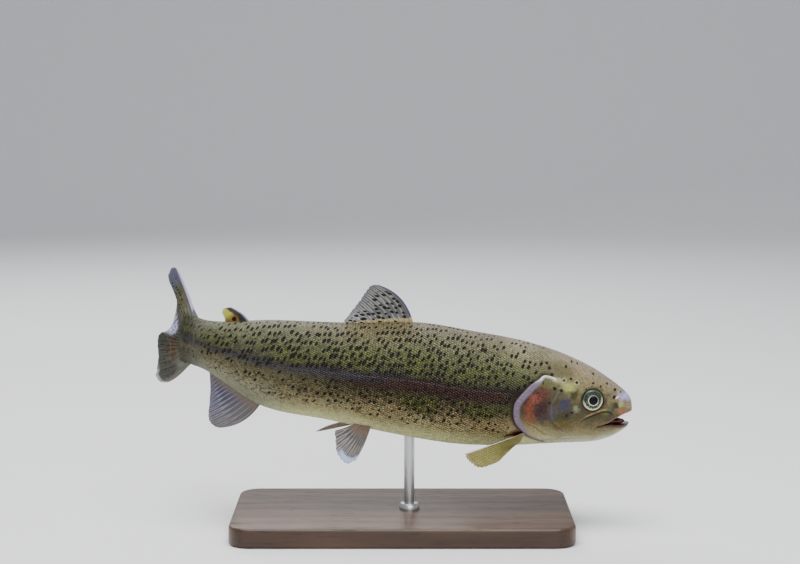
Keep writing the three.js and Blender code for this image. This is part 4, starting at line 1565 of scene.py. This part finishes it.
TORN = 0.006  # how unevenly the rays end, as a share of their length
FIN_WELD = 2e-6  # metres
SPLIT_FROM, SPLIT_TO = 0.42, 0.75  # where on its length a ray splits
SPLIT_REACH = 0.22  # how far apart its halves end, in steps from ray to ray


def ray_pattern(phase, v):
    """1 on a ray and 0 between rays; each ray splits in two towards the margin."""
    split = SPLIT_REACH * ramp(v, SPLIT_FROM, SPLIT_TO)
    centre = phase % 1 - 0.5
    gap = np.minimum(np.abs(centre - split), np.abs(centre + split))
    return np.exp(-((gap / mix(0.17, 0.12, ramp(v, 0.4, 0.8))) ** 2))


def half_thickness(u, v, phase, points, thick):
    """Half the sheet's thickness: ridged on rays, fleshy at the root and closed at every edge."""
    rounding = np.minimum(ramp(u, -0.012, 0.03), ramp(u, 1.012, 0.975)) ** 0.5
    edge = np.sqrt(np.clip(1 - v**8, 0, 1)) * np.where(v <= 0, 0, 1)
    flesh = 0.55 * bump(np.maximum(clearance(points), 0), 1.3)
    ridges = 0.5 + 0.6 * ray_pattern(phase, v) + bump(u, 0.03) * 0.25
    return (mix(thick[0], thick[1], np.sqrt(v)) / 2 * ridges + flesh) * rounding * edge


def make_fin(name, ray, count, normal, thick=(1.5, 0.5), columns=120, rows=56, cup=0.0,
             scallop=0.012, seed=1):
    """One closed sheet over a fan, with a count of rays, cupped and thickened along its normal."""
    bm, around, v, _ = grid_of(2 * columns, rows)
    normal = np.asarray(normal, float)
    front = around <= 0.5
    u = np.where(front, around * 2, 2 - around * 2)
    phase = u * count
    length = np.linalg.norm(ray(u, 0 * u + 1) - ray(u, 0 * u), axis=-1)
    rng = np.random.default_rng(seed)
    torn = np.interp(phase, np.arange(count + 1), rng.normal(0, TORN, count + 1))
    out = v * (1 + (torn - scallop * (0.5 + 0.5 * np.cos(2 * np.pi * phase))) * v**3)
    points = ray(u, out)
    points += normal * (cup * np.sin(np.pi * u) * v * (1.4 - v))[:, None]
    half = half_thickness(u, v, phase, points, thick)
    ends = (around <= 1e-6) | (around >= 1 - 1e-6) | (np.abs(u - 1) < 1e-6)
    half = np.where(ends, 0, half)
    points += normal * (np.where(front, 1, -1) * half)[:, None]
    s, y, h = points.T
    move_to(bm, placed(s, y, h))
    mesh = mesh_of(name, bm)
    arc = arc_of(s, angle_of(s, y, h)) * np.where(y < 0, -1, 1)
    give(mesh, "flank", s, arc, height_share(s, h))
    give(mesh, "fin", phase, v * length, v)
    give(mesh, "rest", s, y, h)
    give(mesh, "spread", u)
    merge_seams(mesh)
    mesh.shade_smooth()
    fin = add_object(name, mesh)
    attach(fin, BODY)
    return fin


def merge_seams(mesh):
    """Welds the sheet's edges, and turns it outwards if it ended up inside out."""
    bm = bmesh.new()
    bm.from_mesh(mesh)
    bmesh.ops.remove_doubles(bm, verts=bm.verts, dist=FIN_WELD)
    drop_doubled_faces(bm)
    bmesh.ops.recalc_face_normals(bm, faces=bm.faces)
    if bm.calc_volume(signed=True) < 0:
        bmesh.ops.reverse_faces(bm, faces=bm.faces)
    bm.to_mesh(mesh)
    bm.free()


print("a ray and the gap beside it:", ray_pattern(np.array([0.5, 1.0]), np.array([0.2, 0.2])).round(2))

# %% [markdown]
# ## Finishes for the fins
# All fins share one finish with different paints: skin between rays, paler rays with fine cross
# joints, a tinted margin, and, on the back and tail, dark spots that sit in rows between the rays.

# %% The fin finish


FIN_SPOT_ROW = 3.0  # millimetres from spot to spot along a ray


def fin_spots(paint, phase, out, v, spread, margin, spot_size):
    """Dark spots in rows between the rays, kept off the margin and the leading edge."""
    shaken = paint.wobble(paint.vector(phase, out / FIN_SPOT_ROW), 1.4, 0.22)
    reach = paint.cells(shaken, DISORDER) * FIN_SPOT_ROW
    luck, girth, _ = paint.parts(paint.cells(shaken, DISORDER, "Color"))
    dark = paint.ease(reach - (girth * 0.5 + 0.75) * spot_size, 0.18, -0.18)
    dark = dark * paint.ease(luck, 0.9, 0.88) * paint.ease(v, margin, margin - 0.1)
    return dark * paint.ease(spread, 0.05, 0.09)


def fin_finish(name, skin_tint, ray_tint, margin_tint, base_tint, spots=0.0, margin=0.85,
               spot_size=0.95, lobes=(), see_through=0.0, base_reach=(10.0, 4.5), on_stalk=False):
    paint = Paint(name, Coat_Roughness=0.25, IOR=1.4, Specular_IOR_Level=0.15)
    phase, out, v = paint.parts(paint.attribute("fin"))
    rest = paint.attribute("rest")
    spread = paint.amount("spread")
    split = paint.ease(v, SPLIT_FROM, SPLIT_TO) * SPLIT_REACH
    centre = phase.fraction() - 0.5
    gap = (centre - split).absolute().least((centre + split).absolute())
    on_ray = paint.ease(gap, 0.2, 0.06)
    joints = paint.ease((out * 4.2).wave(), 0.3, 0.9) * on_ray * paint.ease(v, 0.25, 0.45)
    cloud = paint.noise(rest, 0.35, 4.0, 0.6)
    colour = paint.blend(skin_tint, ray_tint, on_ray * 0.85)
    colour = paint.shade(colour, 0.55 + cloud * 0.9)
    for reach, tint, strength in lobes:
        colour = paint.blend(colour, tint, reach(paint, spread, v, cloud) * strength)
    base = paint.ease(out + (cloud - 0.5) * 3.0, *base_reach)
    colour = paint.blend(colour, base_tint, base * 0.85)
    if on_stalk:
        s, _, h = paint.parts(rest)
        low = paint.ease(h, 4.0, -4.0)
        _, arc, share = paint.parts(paint.attribute("flank"))
        stalk = paint.shade(paint.colour_at(share, STALK_STOPS), 0.42 + cloud * 0.4 - low * 0.2)
        near = paint.ease(s + (cloud - 0.5) * 10.0 + low * 5.0, 294.0, 281.0)
        near = near * paint.ease(spread, 0.02, 0.06)
        colour = paint.blend(colour, stalk, near)
    edge = paint.ease(v + (cloud - 0.5) * 0.16, margin, margin + 0.12)
    colour = paint.layers(colour, (margin_tint, edge * 0.8), ((0.05, 0.04, 0.04), joints * 0.22))
    if spots:
        dark = fin_spots(paint, phase, out, v, spread, margin, spot_size)
        if on_stalk:
            dark = (dark * (1.0 - near)).most(body_spots(paint, s, arc, share) * near)
        colour = paint.blend(colour, SPOT_INK, dark * spots)
    others = {"Coat_Weight": 0.06 + cloud * 0.1}
    if see_through:
        others["Alpha"] = 1.0 - paint.ease(v, 0.3, 0.8) * (1.0 - on_ray) * see_through
    raised = on_ray * 0.6 + cloud + joints * 0.3
    return paint.finish(colour, 0.42 + cloud * 0.15, raised, 0.00015, **others)


def leading_edge(paint, spread, v, cloud):
    return paint.ease(spread, 0.075, 0.03)


def front_part(paint, spread, v, cloud):
    return paint.ease(spread + cloud * 0.2, 0.55, 0.2)


def rear_part(paint, spread, v, cloud):
    return paint.ease(spread + cloud * 0.2, 0.6, 0.95)


def far_tip(paint, spread, v, cloud):
    return paint.ease(v + (cloud - 0.5) * 0.1, 0.82, 0.88) * paint.ease(spread, 0.72, 0.55)


dorsal_material = fin_finish("dorsal_skin", (0.125, 0.124, 0.118), (0.29, 0.285, 0.27),
                             (0.14, 0.135, 0.165), (0.38, 0.30, 0.17), spots=0.97, margin=0.88,
                             spot_size=0.95, base_reach=(6.6, 5.6), see_through=0.1,
                             lobes=[(rear_part, (0.34, 0.35, 0.34), 0.5),
                                    (leading_edge, (0.085, 0.075, 0.11), 0.9)])
anal_material = fin_finish("anal_skin", (0.095, 0.093, 0.125), (0.29, 0.28, 0.34),
                           (0.34, 0.34, 0.38), (0.20, 0.16, 0.13), margin=0.95, see_through=0.14,
                           lobes=[(front_part, (0.20, 0.18, 0.145), 0.5)])
pelvic_material = fin_finish("pelvic_skin", (0.125, 0.113, 0.108), (0.32, 0.30, 0.28),
                             (0.34, 0.33, 0.34), (0.26, 0.185, 0.14), margin=0.92, see_through=0.14,
                             lobes=[(far_tip, (0.44, 0.52, 0.74), 0.9)])
left_pelvic_material = fin_finish("left_pelvic_skin", (0.30, 0.26, 0.19), (0.44, 0.39, 0.30),
                                  (0.50, 0.45, 0.38), (0.24, 0.19, 0.14), see_through=0.1)
pectoral_material = fin_finish("pectoral_skin", (0.15, 0.133, 0.04), (0.45, 0.41, 0.18),
                               (0.38, 0.36, 0.23), (0.28, 0.26, 0.13), margin=0.93, see_through=0.1,
                               lobes=[(leading_edge, (0.66, 0.60, 0.62), 0.95)])
TAIL_LOBES = [
    # The olive upper lobe, its rusty streak and its slate tip.
    (lambda p, u, v, cloud: p.span(u, 0.02, 0.3, 0.05) * p.span(v, 0.1, 0.66, 0.1),
     (0.12, 0.118, 0.045), 0.75),
    (lambda p, u, v, cloud: p.span(u, 0.06, 0.16, 0.03) * p.span(v + cloud * 0.3, 0.25, 0.6, 0.08),
     (0.19, 0.085, 0.035), 0.55),
    (lambda p, u, v, cloud: p.ease(u, 0.3, 0.2) * p.ease(v, 0.62, 0.82), (0.105, 0.11, 0.16), 0.8),
    # The dark lower lobe with a maroon and a rusty streak.
    (lambda p, u, v, cloud: p.ease(u, 0.46, 0.56), (0.045, 0.044, 0.028), 0.9),
    (lambda p, u, v, cloud: p.span(u, 0.5, 0.66, 0.05) * p.span(v + cloud * 0.3, 0.1, 0.62, 0.1),
     (0.055, 0.022, 0.016), 0.8),
    (lambda p, u, v, cloud: p.span(u + cloud * 0.2, 0.74, 0.98, 0.07)
     * p.span(v + cloud * 0.4, 0.2, 0.8, 0.15),
     (0.10, 0.053, 0.02), 0.75),
    # The lilac fold in the middle, a painted highlight where the fin bends, then the lower edge, its
    # pale tip and the lilac leading edge.
    (lambda p, u, v, cloud: p.span(u, 0.40, 0.54, 0.04) * p.ease(v + cloud * 0.3, 0.5, 0.85),
     (0.46, 0.45, 0.62), 0.85),
    (lambda p, u, v, cloud: p.ease(u, 0.95, 0.99), (0.20, 0.165, 0.145), 0.7),
    (lambda p, u, v, cloud: p.ease(u, 0.84, 0.93) * p.ease(v, 0.88, 0.97), (0.50, 0.52, 0.58), 0.8),
    (lambda p, u, v, cloud: p.ease(u, 0.05, 0.02), (0.40, 0.37, 0.56), 0.9),
]
tail_material = fin_finish("tail_skin", (0.055, 0.054, 0.042), (0.13, 0.126, 0.098),
                           (0.19, 0.19, 0.23), (0.07, 0.07, 0.045), spots=0.9, margin=0.94,
                           spot_size=0.8, lobes=TAIL_LOBES, on_stalk=True)
print("fin finishes:", [m.name for m in (dorsal_material, anal_material, pelvic_material,
                                         left_pelvic_material, pectoral_material, tail_material)])

# %% [markdown]
# The fatty fin on the stalk has no rays. It is a small soft paddle, yellow with a black rim and
# one dark spot, so it keeps the sheet but takes a plain thick section.

# %% Fatty fin finish


FATTY_SPOT = (227.1, 16.6, 0)


def fatty_finish():
    """Yellow with a dark rim and one spot ringed in orange."""
    paint = Paint("fatty_skin", Coat_Roughness=0.2, Coat_Weight=0.4, IOR=1.4)
    _, out, v = paint.parts(paint.attribute("fin"))
    rest = paint.attribute("rest")
    s, _, h = paint.parts(rest)
    spread = paint.amount("spread")
    cloud = paint.noise(rest, 0.6, 4.0)
    rim = paint.ease(spread + (cloud - 0.5) * 0.08, 0.36, 0.25) * paint.ease(v, 0.0, 0.3)
    pale = paint.ease(v, 0.92, 0.98).most(paint.ease(spread, 0.09, 0.03))
    loose = paint.wobble(paint.vector(s, h), 0.8, 0.8)
    colour = paint.layers(
        (0.36, 0.35, 0.045),
        ((0.44, 0.42, 0.12), cloud),
        ((0.30, 0.25, 0.10), paint.ease(out, 7.0, 4.5)),
        ((0.035, 0.027, 0.04), rim * 0.94),
        ((0.33, 0.30, 0.42), pale * 0.85),
        ((0.45, 0.20, 0.03), paint.dot(loose, FATTY_SPOT, 2.2, 1.0) * 0.7),
        ((0.035, 0.012, 0.008), paint.dot(loose, FATTY_SPOT, 1.25, 0.3)),
    )
    return paint.finish(colour, 0.38 + cloud * 0.15, cloud, 0.0002)


fatty_material = fatty_finish()
print("fatty fin finish:", fatty_material.name)

# %% Fins on the back and under the tail
UPRIGHT = (0.0, 1.0, 0.0)
DORSAL = fan(roots=[(127, 0, 24), (143.5, 0, 22.5), (160, 0, 19.6)],
             middles=[(132.2, 0.7, 42), (140, 0.9, 37.5), (148, 0.7, 31), (156, 0.2, 26), (163, 0, 22)],
             tips=[(0, 148.5, 1.2, 45.5), (0.08, 151.6, 1.5, 46), (0.16, 154.4, 1.7, 45),
                   (0.27, 156.2, 1.8, 42.6), (0.4, 158, 1.6, 39), (0.56, 160.2, 1.2, 34.6),
                   (0.77, 163.4, 0.4, 28.4), (1, 166.8, -0.4, 23)])
FATTY = fan(roots=[(217, 0, 13.5), (230.5, 0, 11.5)],
            middles=[(222, 0, 20.9), (226, 0, 19.5), (229, 0, 18), (231, 0, 16.5), (232, 0, 15)],
            tips=[(230.5, 0, 22.9), (233.4, 0, 22.3), (235.2, 0, 20.9), (235.3, 0, 19),
                  (233.6, 0, 17)])
ANAL = fan(roots=[(205.5, 0, -28), (220.7, 0, -19.5), (236, 0, -11)],
           middles=[(211.5, 0, -43), (222, 0.6, -35.5), (229.5, 0.6, -27), (233.5, 0.3, -20),
                    (238, 0, -13)],
           tips=[(0, 225.5, 0, -45.8), (0.06, 228.6, 0.2, -46.4), (0.13, 231.8, 0.5, -45.4),
                 (0.22, 234.8, 0.8, -43), (0.34, 236.6, 1.2, -38.6), (0.5, 237, 1.5, -33),
                 (0.72, 237.4, 1.1, -25.5), (1, 238.8, 0, -14.6)])
TAIL_TIPS = [(0, 304.5, 3, 33.8), (0.03, 311.4, 3, 35.6), (0.06, 318, 3, 35.3), (0.09, 322.4, 2.6, 33),
             (0.12, 323.2, 2.2, 30.2), (0.16, 319.8, 2, 27), (0.21, 314, 2.4, 23.6),
             (0.27, 308, 3, 20.2), (0.33, 306.6, 3.8, 16.6), (0.41, 307.5, 4.2, 10.5),
             (0.47, 306, 2.6, 3.4), (0.52, 307.5, 0.8, -1), (0.6, 313.5, -1.8, -4.6),
             (0.7, 314.5, -2, -10.8), (0.8, 313.5, -0.6, -18.5), (0.9, 318, 1.2, -28.5),
             (0.94, 319.2, 1.6, -32), (0.97, 312.6, 2.4, -33.8), (1, 302.5, 2.8, -32)]
TAIL = fan(roots=[(262, 0, 13.5), (276, 0, 8), (280, 0, 2.7), (280, 0, -2.7), (276, 0, -8),
                  (262, 0, -13.5)],
           middles=[(283, 0.4, 28), (292, 1.6, 13.5), (291, 0.8, 0), (293, -1.2, -9.5),
                    (280.5, 0.6, -25)],
           tips=TAIL_TIPS)
dorsal = make_fin("dorsal_sheet", DORSAL, 12, UPRIGHT, seed=3)
fatty = make_fin("fatty_sheet", FATTY, 30, UPRIGHT, thick=(3.4, 1.7), columns=60, rows=40,
                 scallop=0.0, seed=4)
anal = make_fin("anal_sheet", ANAL, 15, UPRIGHT, columns=150, seed=5)
tail = make_fin("tail_sheet", TAIL, 20, UPRIGHT, thick=(2.2, 0.5), columns=190, rows=64,
                scallop=0.012, seed=6)
for fin, node, material in ((dorsal, "dorsal_fin", dorsal_material),
                            (fatty, "adipose_fin", fatty_material),
                            (anal, "anal_fin", anal_material), (tail, "caudal_fin", tail_material)):
    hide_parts(node)
    fin.data.materials.append(material)
print("midline fins:", [len(fin.data.polygons) for fin in (dorsal, fatty, anal, tail)])

# %% [markdown]
# The paired fins are fans between a short root and a row of tips. The right and left pectoral fins
# mirror each other; the pelvic fins are caught at different moments of their stroke.

# %% Paired fins
PECTORAL = {"roots": [(54, 10.5, -21), (59, 7.5, -28)],
            "middles": [(72, 20.5, -28.4), (70, 19, -32.5), (64.5, 14.5, -32)],
            "tips": [(90.4, 25, -36.4), (87.5, 26, -40.2), (80.5, 25, -42.8), (71, 20.5, -39.5)]}
PELVIC_RIGHT = {"roots": [(143, -6.5, -31), (150, -5, -31)],
                "middles": [(144.6, -12, -42), (151, -12, -43), (156.5, -8, -35)],
                "tips": [(149, -17.5, -50.5), (154, -18, -53), (160, -15, -48), (163, -9, -37.5)]}
PELVIC_LEFT = {"roots": [(143, 6.5, -31), (150, 5, -31)],
               "middles": [(152.5, 15, -37), (157, 12, -37), (157, 7.5, -34)],
               "tips": [(167, 20.5, -43.2), (172.4, 20, -45.2), (173.5, 14.5, -43.9), (168, 8, -39)]}
PECTORAL_LIFT = 5.0  # the left pectoral fin is held closer to the belly


def mirrored(corners):
    return {key: [(s, -y, h) for s, y, h in points] for key, points in corners.items()}


def lifted(corners, lift):
    shares = {"roots": 0.0, "middles": 0.45, "tips": 1.0}
    return {key: [(s, y, h + lift * shares[key]) for s, y, h in points]
            for key, points in corners.items()}


def make_paired(name, node, corners, count, material, cup, seed):
    ray = fan(**corners)
    ends = ray(np.array([0.0, 1.0]), np.array([1.0, 1.0])) - ray(np.array([0.0, 1.0]), np.zeros(2))
    normal = np.cross(ends[0], ends[1])
    normal /= np.linalg.norm(normal)
    fin = make_fin(name, ray, count, normal, thick=(1.5, 0.45), columns=100, rows=48, cup=cup,
                   scallop=0.022, seed=seed)
    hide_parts(node)
    fin.data.materials.append(material)
    return fin


paired = [
    make_paired("pectoral_sheet_right", "pectoral_fin_right", mirrored(PECTORAL), 11,
                pectoral_material, 1.2, 11),
    make_paired("pectoral_sheet_left", "pectoral_fin_left", lifted(PECTORAL, PECTORAL_LIFT), 11,
                pectoral_material, -1.2, 12),
    make_paired("pelvic_sheet_right", "pelvic_fin_right", PELVIC_RIGHT, 9, pelvic_material, 1.0, 13),
    make_paired("pelvic_sheet_left", "pelvic_fin_left", PELVIC_LEFT, 9, left_pelvic_material, 0.4, 14),
]
print("paired fins:", [fin.name for fin in paired])

# %% [markdown]
# ## The stand
# The stand is a flat wooden board with rounded corners and a soft edge, and one steel rod that runs
# up into the belly. The solids are faceted, so both are remade on the same sizes, read from the
# frame: the board from a cube with two rounds of bevels, the rod from a spun profile with a collar.

# %% Base board and rod
BASE_CORNER = 0.012
BASE_EDGE = 0.0018
CREASE = math.radians(40)  # edges sharper than this stay sharp in the shading
COLLAR = [(0.0028, 0), (0.0028, 0.0022), (0.002, 0.0032), (0, 0.0034)]  # how far out and up
ROD_CHAMFER = 0.001


def wood_finish():
    paint = Paint("dark_wood", Coat_Weight=0.3, Coat_Roughness=0.25)
    place = paint.node("ShaderNodeTexCoord", output="Object")
    x, y, z = paint.parts(place)
    stretched = paint.vector(x * 7.0, y * 95.0, z * 95.0)
    drift = paint.noise(paint.vector(x * 9.0, y * 30.0, z * 30.0), 1.0, 3.0)
    rings = ((y * 420.0 + drift * 11.0 + z * 90.0).wave() + 1.0) * 0.5
    fibres = paint.noise(stretched, 9.0, 4.0, 0.65)
    pores = paint.ease(paint.noise(paint.vector(x * 60.0, y * 1500.0, z * 1500.0), 1.0, 2.0), 0.62, 0.7)
    colour = paint.blend((0.042, 0.022, 0.013), (0.115, 0.062, 0.034), rings * 0.55 + fibres * 0.45)
    colour = paint.blend(colour, (0.012, 0.007, 0.005), pores * 0.7)
    rough = 0.32 + fibres * 0.2 + pores * 0.2
    return paint.finish(colour, rough, fibres * 0.5 - pores, 0.00008)


def steel_finish():
    paint = Paint("brushed_steel", Metallic=1.0)
    place = paint.node("ShaderNodeTexCoord", output="Object")
    x, y, z = paint.parts(place)
    brushed = paint.noise(paint.vector(x * 900.0, y * 900.0, z * 12.0), 1.0, 3.0, 0.6)
    smear = paint.noise(place, 60.0, 2.0)
    colour = paint.blend((0.46, 0.47, 0.48), (0.62, 0.62, 0.61), brushed)
    return paint.finish(colour, 0.2 + brushed * 0.16 + smear * 0.08, brushed, 0.00002)


def make_base():
    low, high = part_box("stand_base")
    size = high - low
    bm = bmesh.new()
    bmesh.ops.create_cube(bm, size=1)
    bmesh.ops.scale(bm, verts=bm.verts, vec=size)
    bmesh.ops.translate(bm, verts=bm.verts, vec=(low + high) / 2)
    upright = [e for e in bm.edges if abs(e.verts[0].co.z - e.verts[1].co.z) > size.z / 2]
    bmesh.ops.bevel(bm, geom=upright, offset=BASE_CORNER, affect="EDGES", segments=14, profile=0.5,
                    material=-1)
    rims = [e for e in bm.edges if abs(e.verts[0].co.z - e.verts[1].co.z) < 1e-6]
    bmesh.ops.bevel(bm, geom=rims, offset=BASE_EDGE, affect="EDGES", segments=5, profile=0.5,
                    material=-1)
    base = add_object("base_board", smooth_mesh("base_board", bm))
    base.data.set_sharp_from_angle(angle=CREASE)
    base.data.materials.append(wood_finish())
    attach(base, BODY)
    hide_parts("stand_base")
    return base


def make_rod():
    low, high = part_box("stand_rod")
    base_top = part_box("stand_base")[1].z
    radius = (high.x - low.x) / 2
    profile = [(0, low.z), (radius, low.z), (radius, base_top)]
    profile += [(radius + wider, base_top + higher) for wider, higher in COLLAR]
    profile += [(radius, high.z - ROD_CHAMFER), (radius - ROD_CHAMFER, high.z), (0, high.z)]
    bm = spun(profile, 48)
    bmesh.ops.rotate(bm, verts=bm.verts, matrix=Matrix.Rotation(-math.pi / 2, 3, "Y"))
    middle = (low + high) / 2
    bmesh.ops.translate(bm, verts=bm.verts, vec=(middle.x, middle.y, 0))
    rod = add_object("support_rod", smooth_mesh("support_rod", bm))
    rod.data.set_sharp_from_angle(angle=CREASE)
    rod.data.materials.append(steel_finish())
    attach(rod, BODY)
    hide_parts("stand_rod")
    return rod


base, rod = make_base(), make_rod()

# %% [markdown]
# ## Floor, light and camera
# The studio is a pale sheet that runs along the floor and curves up behind, so that no horizon
# shows. The light is soft and mostly from above, as it falls through water, with a weak fill from
# the front. The camera stands well back with a long lens and looks down a little.

# %% Stage
SWEEP_START = 1.7
SWEEP_RADIUS = 1.2
SWEEP_FRONT = -3.0
SWEEP_TOP = 3.2
SWEEP_HALF = 4  # half its width
LIGHTS = [  # name, place, size, watts and tint
    ("overhead", (-0.05, -0.25, 1.25), (1.1, 0.7), 17.0, (1, 1, 1)),
    ("front_fill", (0.3, -1.5, 0.75), (1.2, 0.9), 8.0, (0.95, 0.97, 1.0)),
    ("back_edge", (-0.4, 1.1, 0.9), (1.2, 0.6), 7.0, (1, 1, 1)),
]
AIR = {"Color": (0.9, 0.93, 1.0, 1), "Strength": 0.5}


def make_stage():
    arc = [(SWEEP_START + SWEEP_RADIUS * math.sin(a), SWEEP_RADIUS * (1 - math.cos(a)))
           for a in np.linspace(0, math.pi / 2, 33)]
    profile = [(SWEEP_FRONT, 0.0), *arc, (SWEEP_START + SWEEP_RADIUS, SWEEP_TOP)]
    bm = bmesh.new()
    verts = [bm.verts.new((-SWEEP_HALF, y, z)) for y, z in profile]
    edges = [bm.edges.new(pair) for pair in zip(verts[:-1], verts[1:])]
    pulled = bmesh.ops.extrude_edge_only(bm, edges=edges)["geom"]
    moved = [part for part in pulled if isinstance(part, bmesh.types.BMVert)]
    bmesh.ops.translate(bm, verts=moved, vec=(2 * SWEEP_HALF, 0, 0))
    stage = add_object("stage_sweep", smooth_mesh("stage_sweep", bm))
    paint = Paint("stage_paper", Roughness=0.9)
    speckle = paint.noise(paint.node("ShaderNodeTexCoord", output="Object"), 220.0, 3.0)
    paint.finish(paint.blend((0.70, 0.70, 0.695), (0.74, 0.74, 0.735), speckle), bump=speckle,
                 bump_depth=0.0002)
    stage.data.materials.append(paint.material)
    return stage


def add_light(target, name, place, size, power, tint):
    lamp = bpy.data.lights.new(name, "AREA")
    lamp.shape = "RECTANGLE"
    lamp.size, lamp.size_y = size
    lamp.energy = power
    lamp.color = tint
    light = bpy.data.objects.new(name, lamp)
    COLLECTION.objects.link(light)
    light.location = place
    light.rotation_euler = (Vector(target) - Vector(place)).to_track_quat("-Z", "Y").to_euler()
    return light


stage = make_stage()
middle = (cad_box[0] + cad_box[1]) / 2
lights = [add_light(middle, *light) for light in LIGHTS]
world = bpy.data.worlds.new("studio_air")
bpy.context.scene.world = world
world.use_nodes = True
for name, value in AIR.items():
    world.node_tree.nodes["Background"].inputs[name].default_value = value
print("lights:", [light.name for light in lights])

# %% Camera
CAMERA_AT = (-0.0012, -1.0, 0.2625)
CAMERA_DIP = math.radians(7)
LENS_MM = 81.3
SENSOR_MM = 36


def make_camera():
    lens = bpy.data.cameras.new("studio_camera")
    lens.lens = LENS_MM
    lens.sensor_width = SENSOR_MM
    lens.clip_start = 0.05
    lens.clip_end = 20
    camera = bpy.data.objects.new("studio_camera", lens)
    COLLECTION.objects.link(camera)
    camera.location = CAMERA_AT
    camera.rotation_euler = (math.pi / 2 - CAMERA_DIP, 0, 0)
    bpy.context.scene.camera = camera
    return camera


camera = make_camera()
bpy.context.scene.view_settings.look = "AgX - Medium High Contrast"
print("camera height:", camera.location.z, "m")
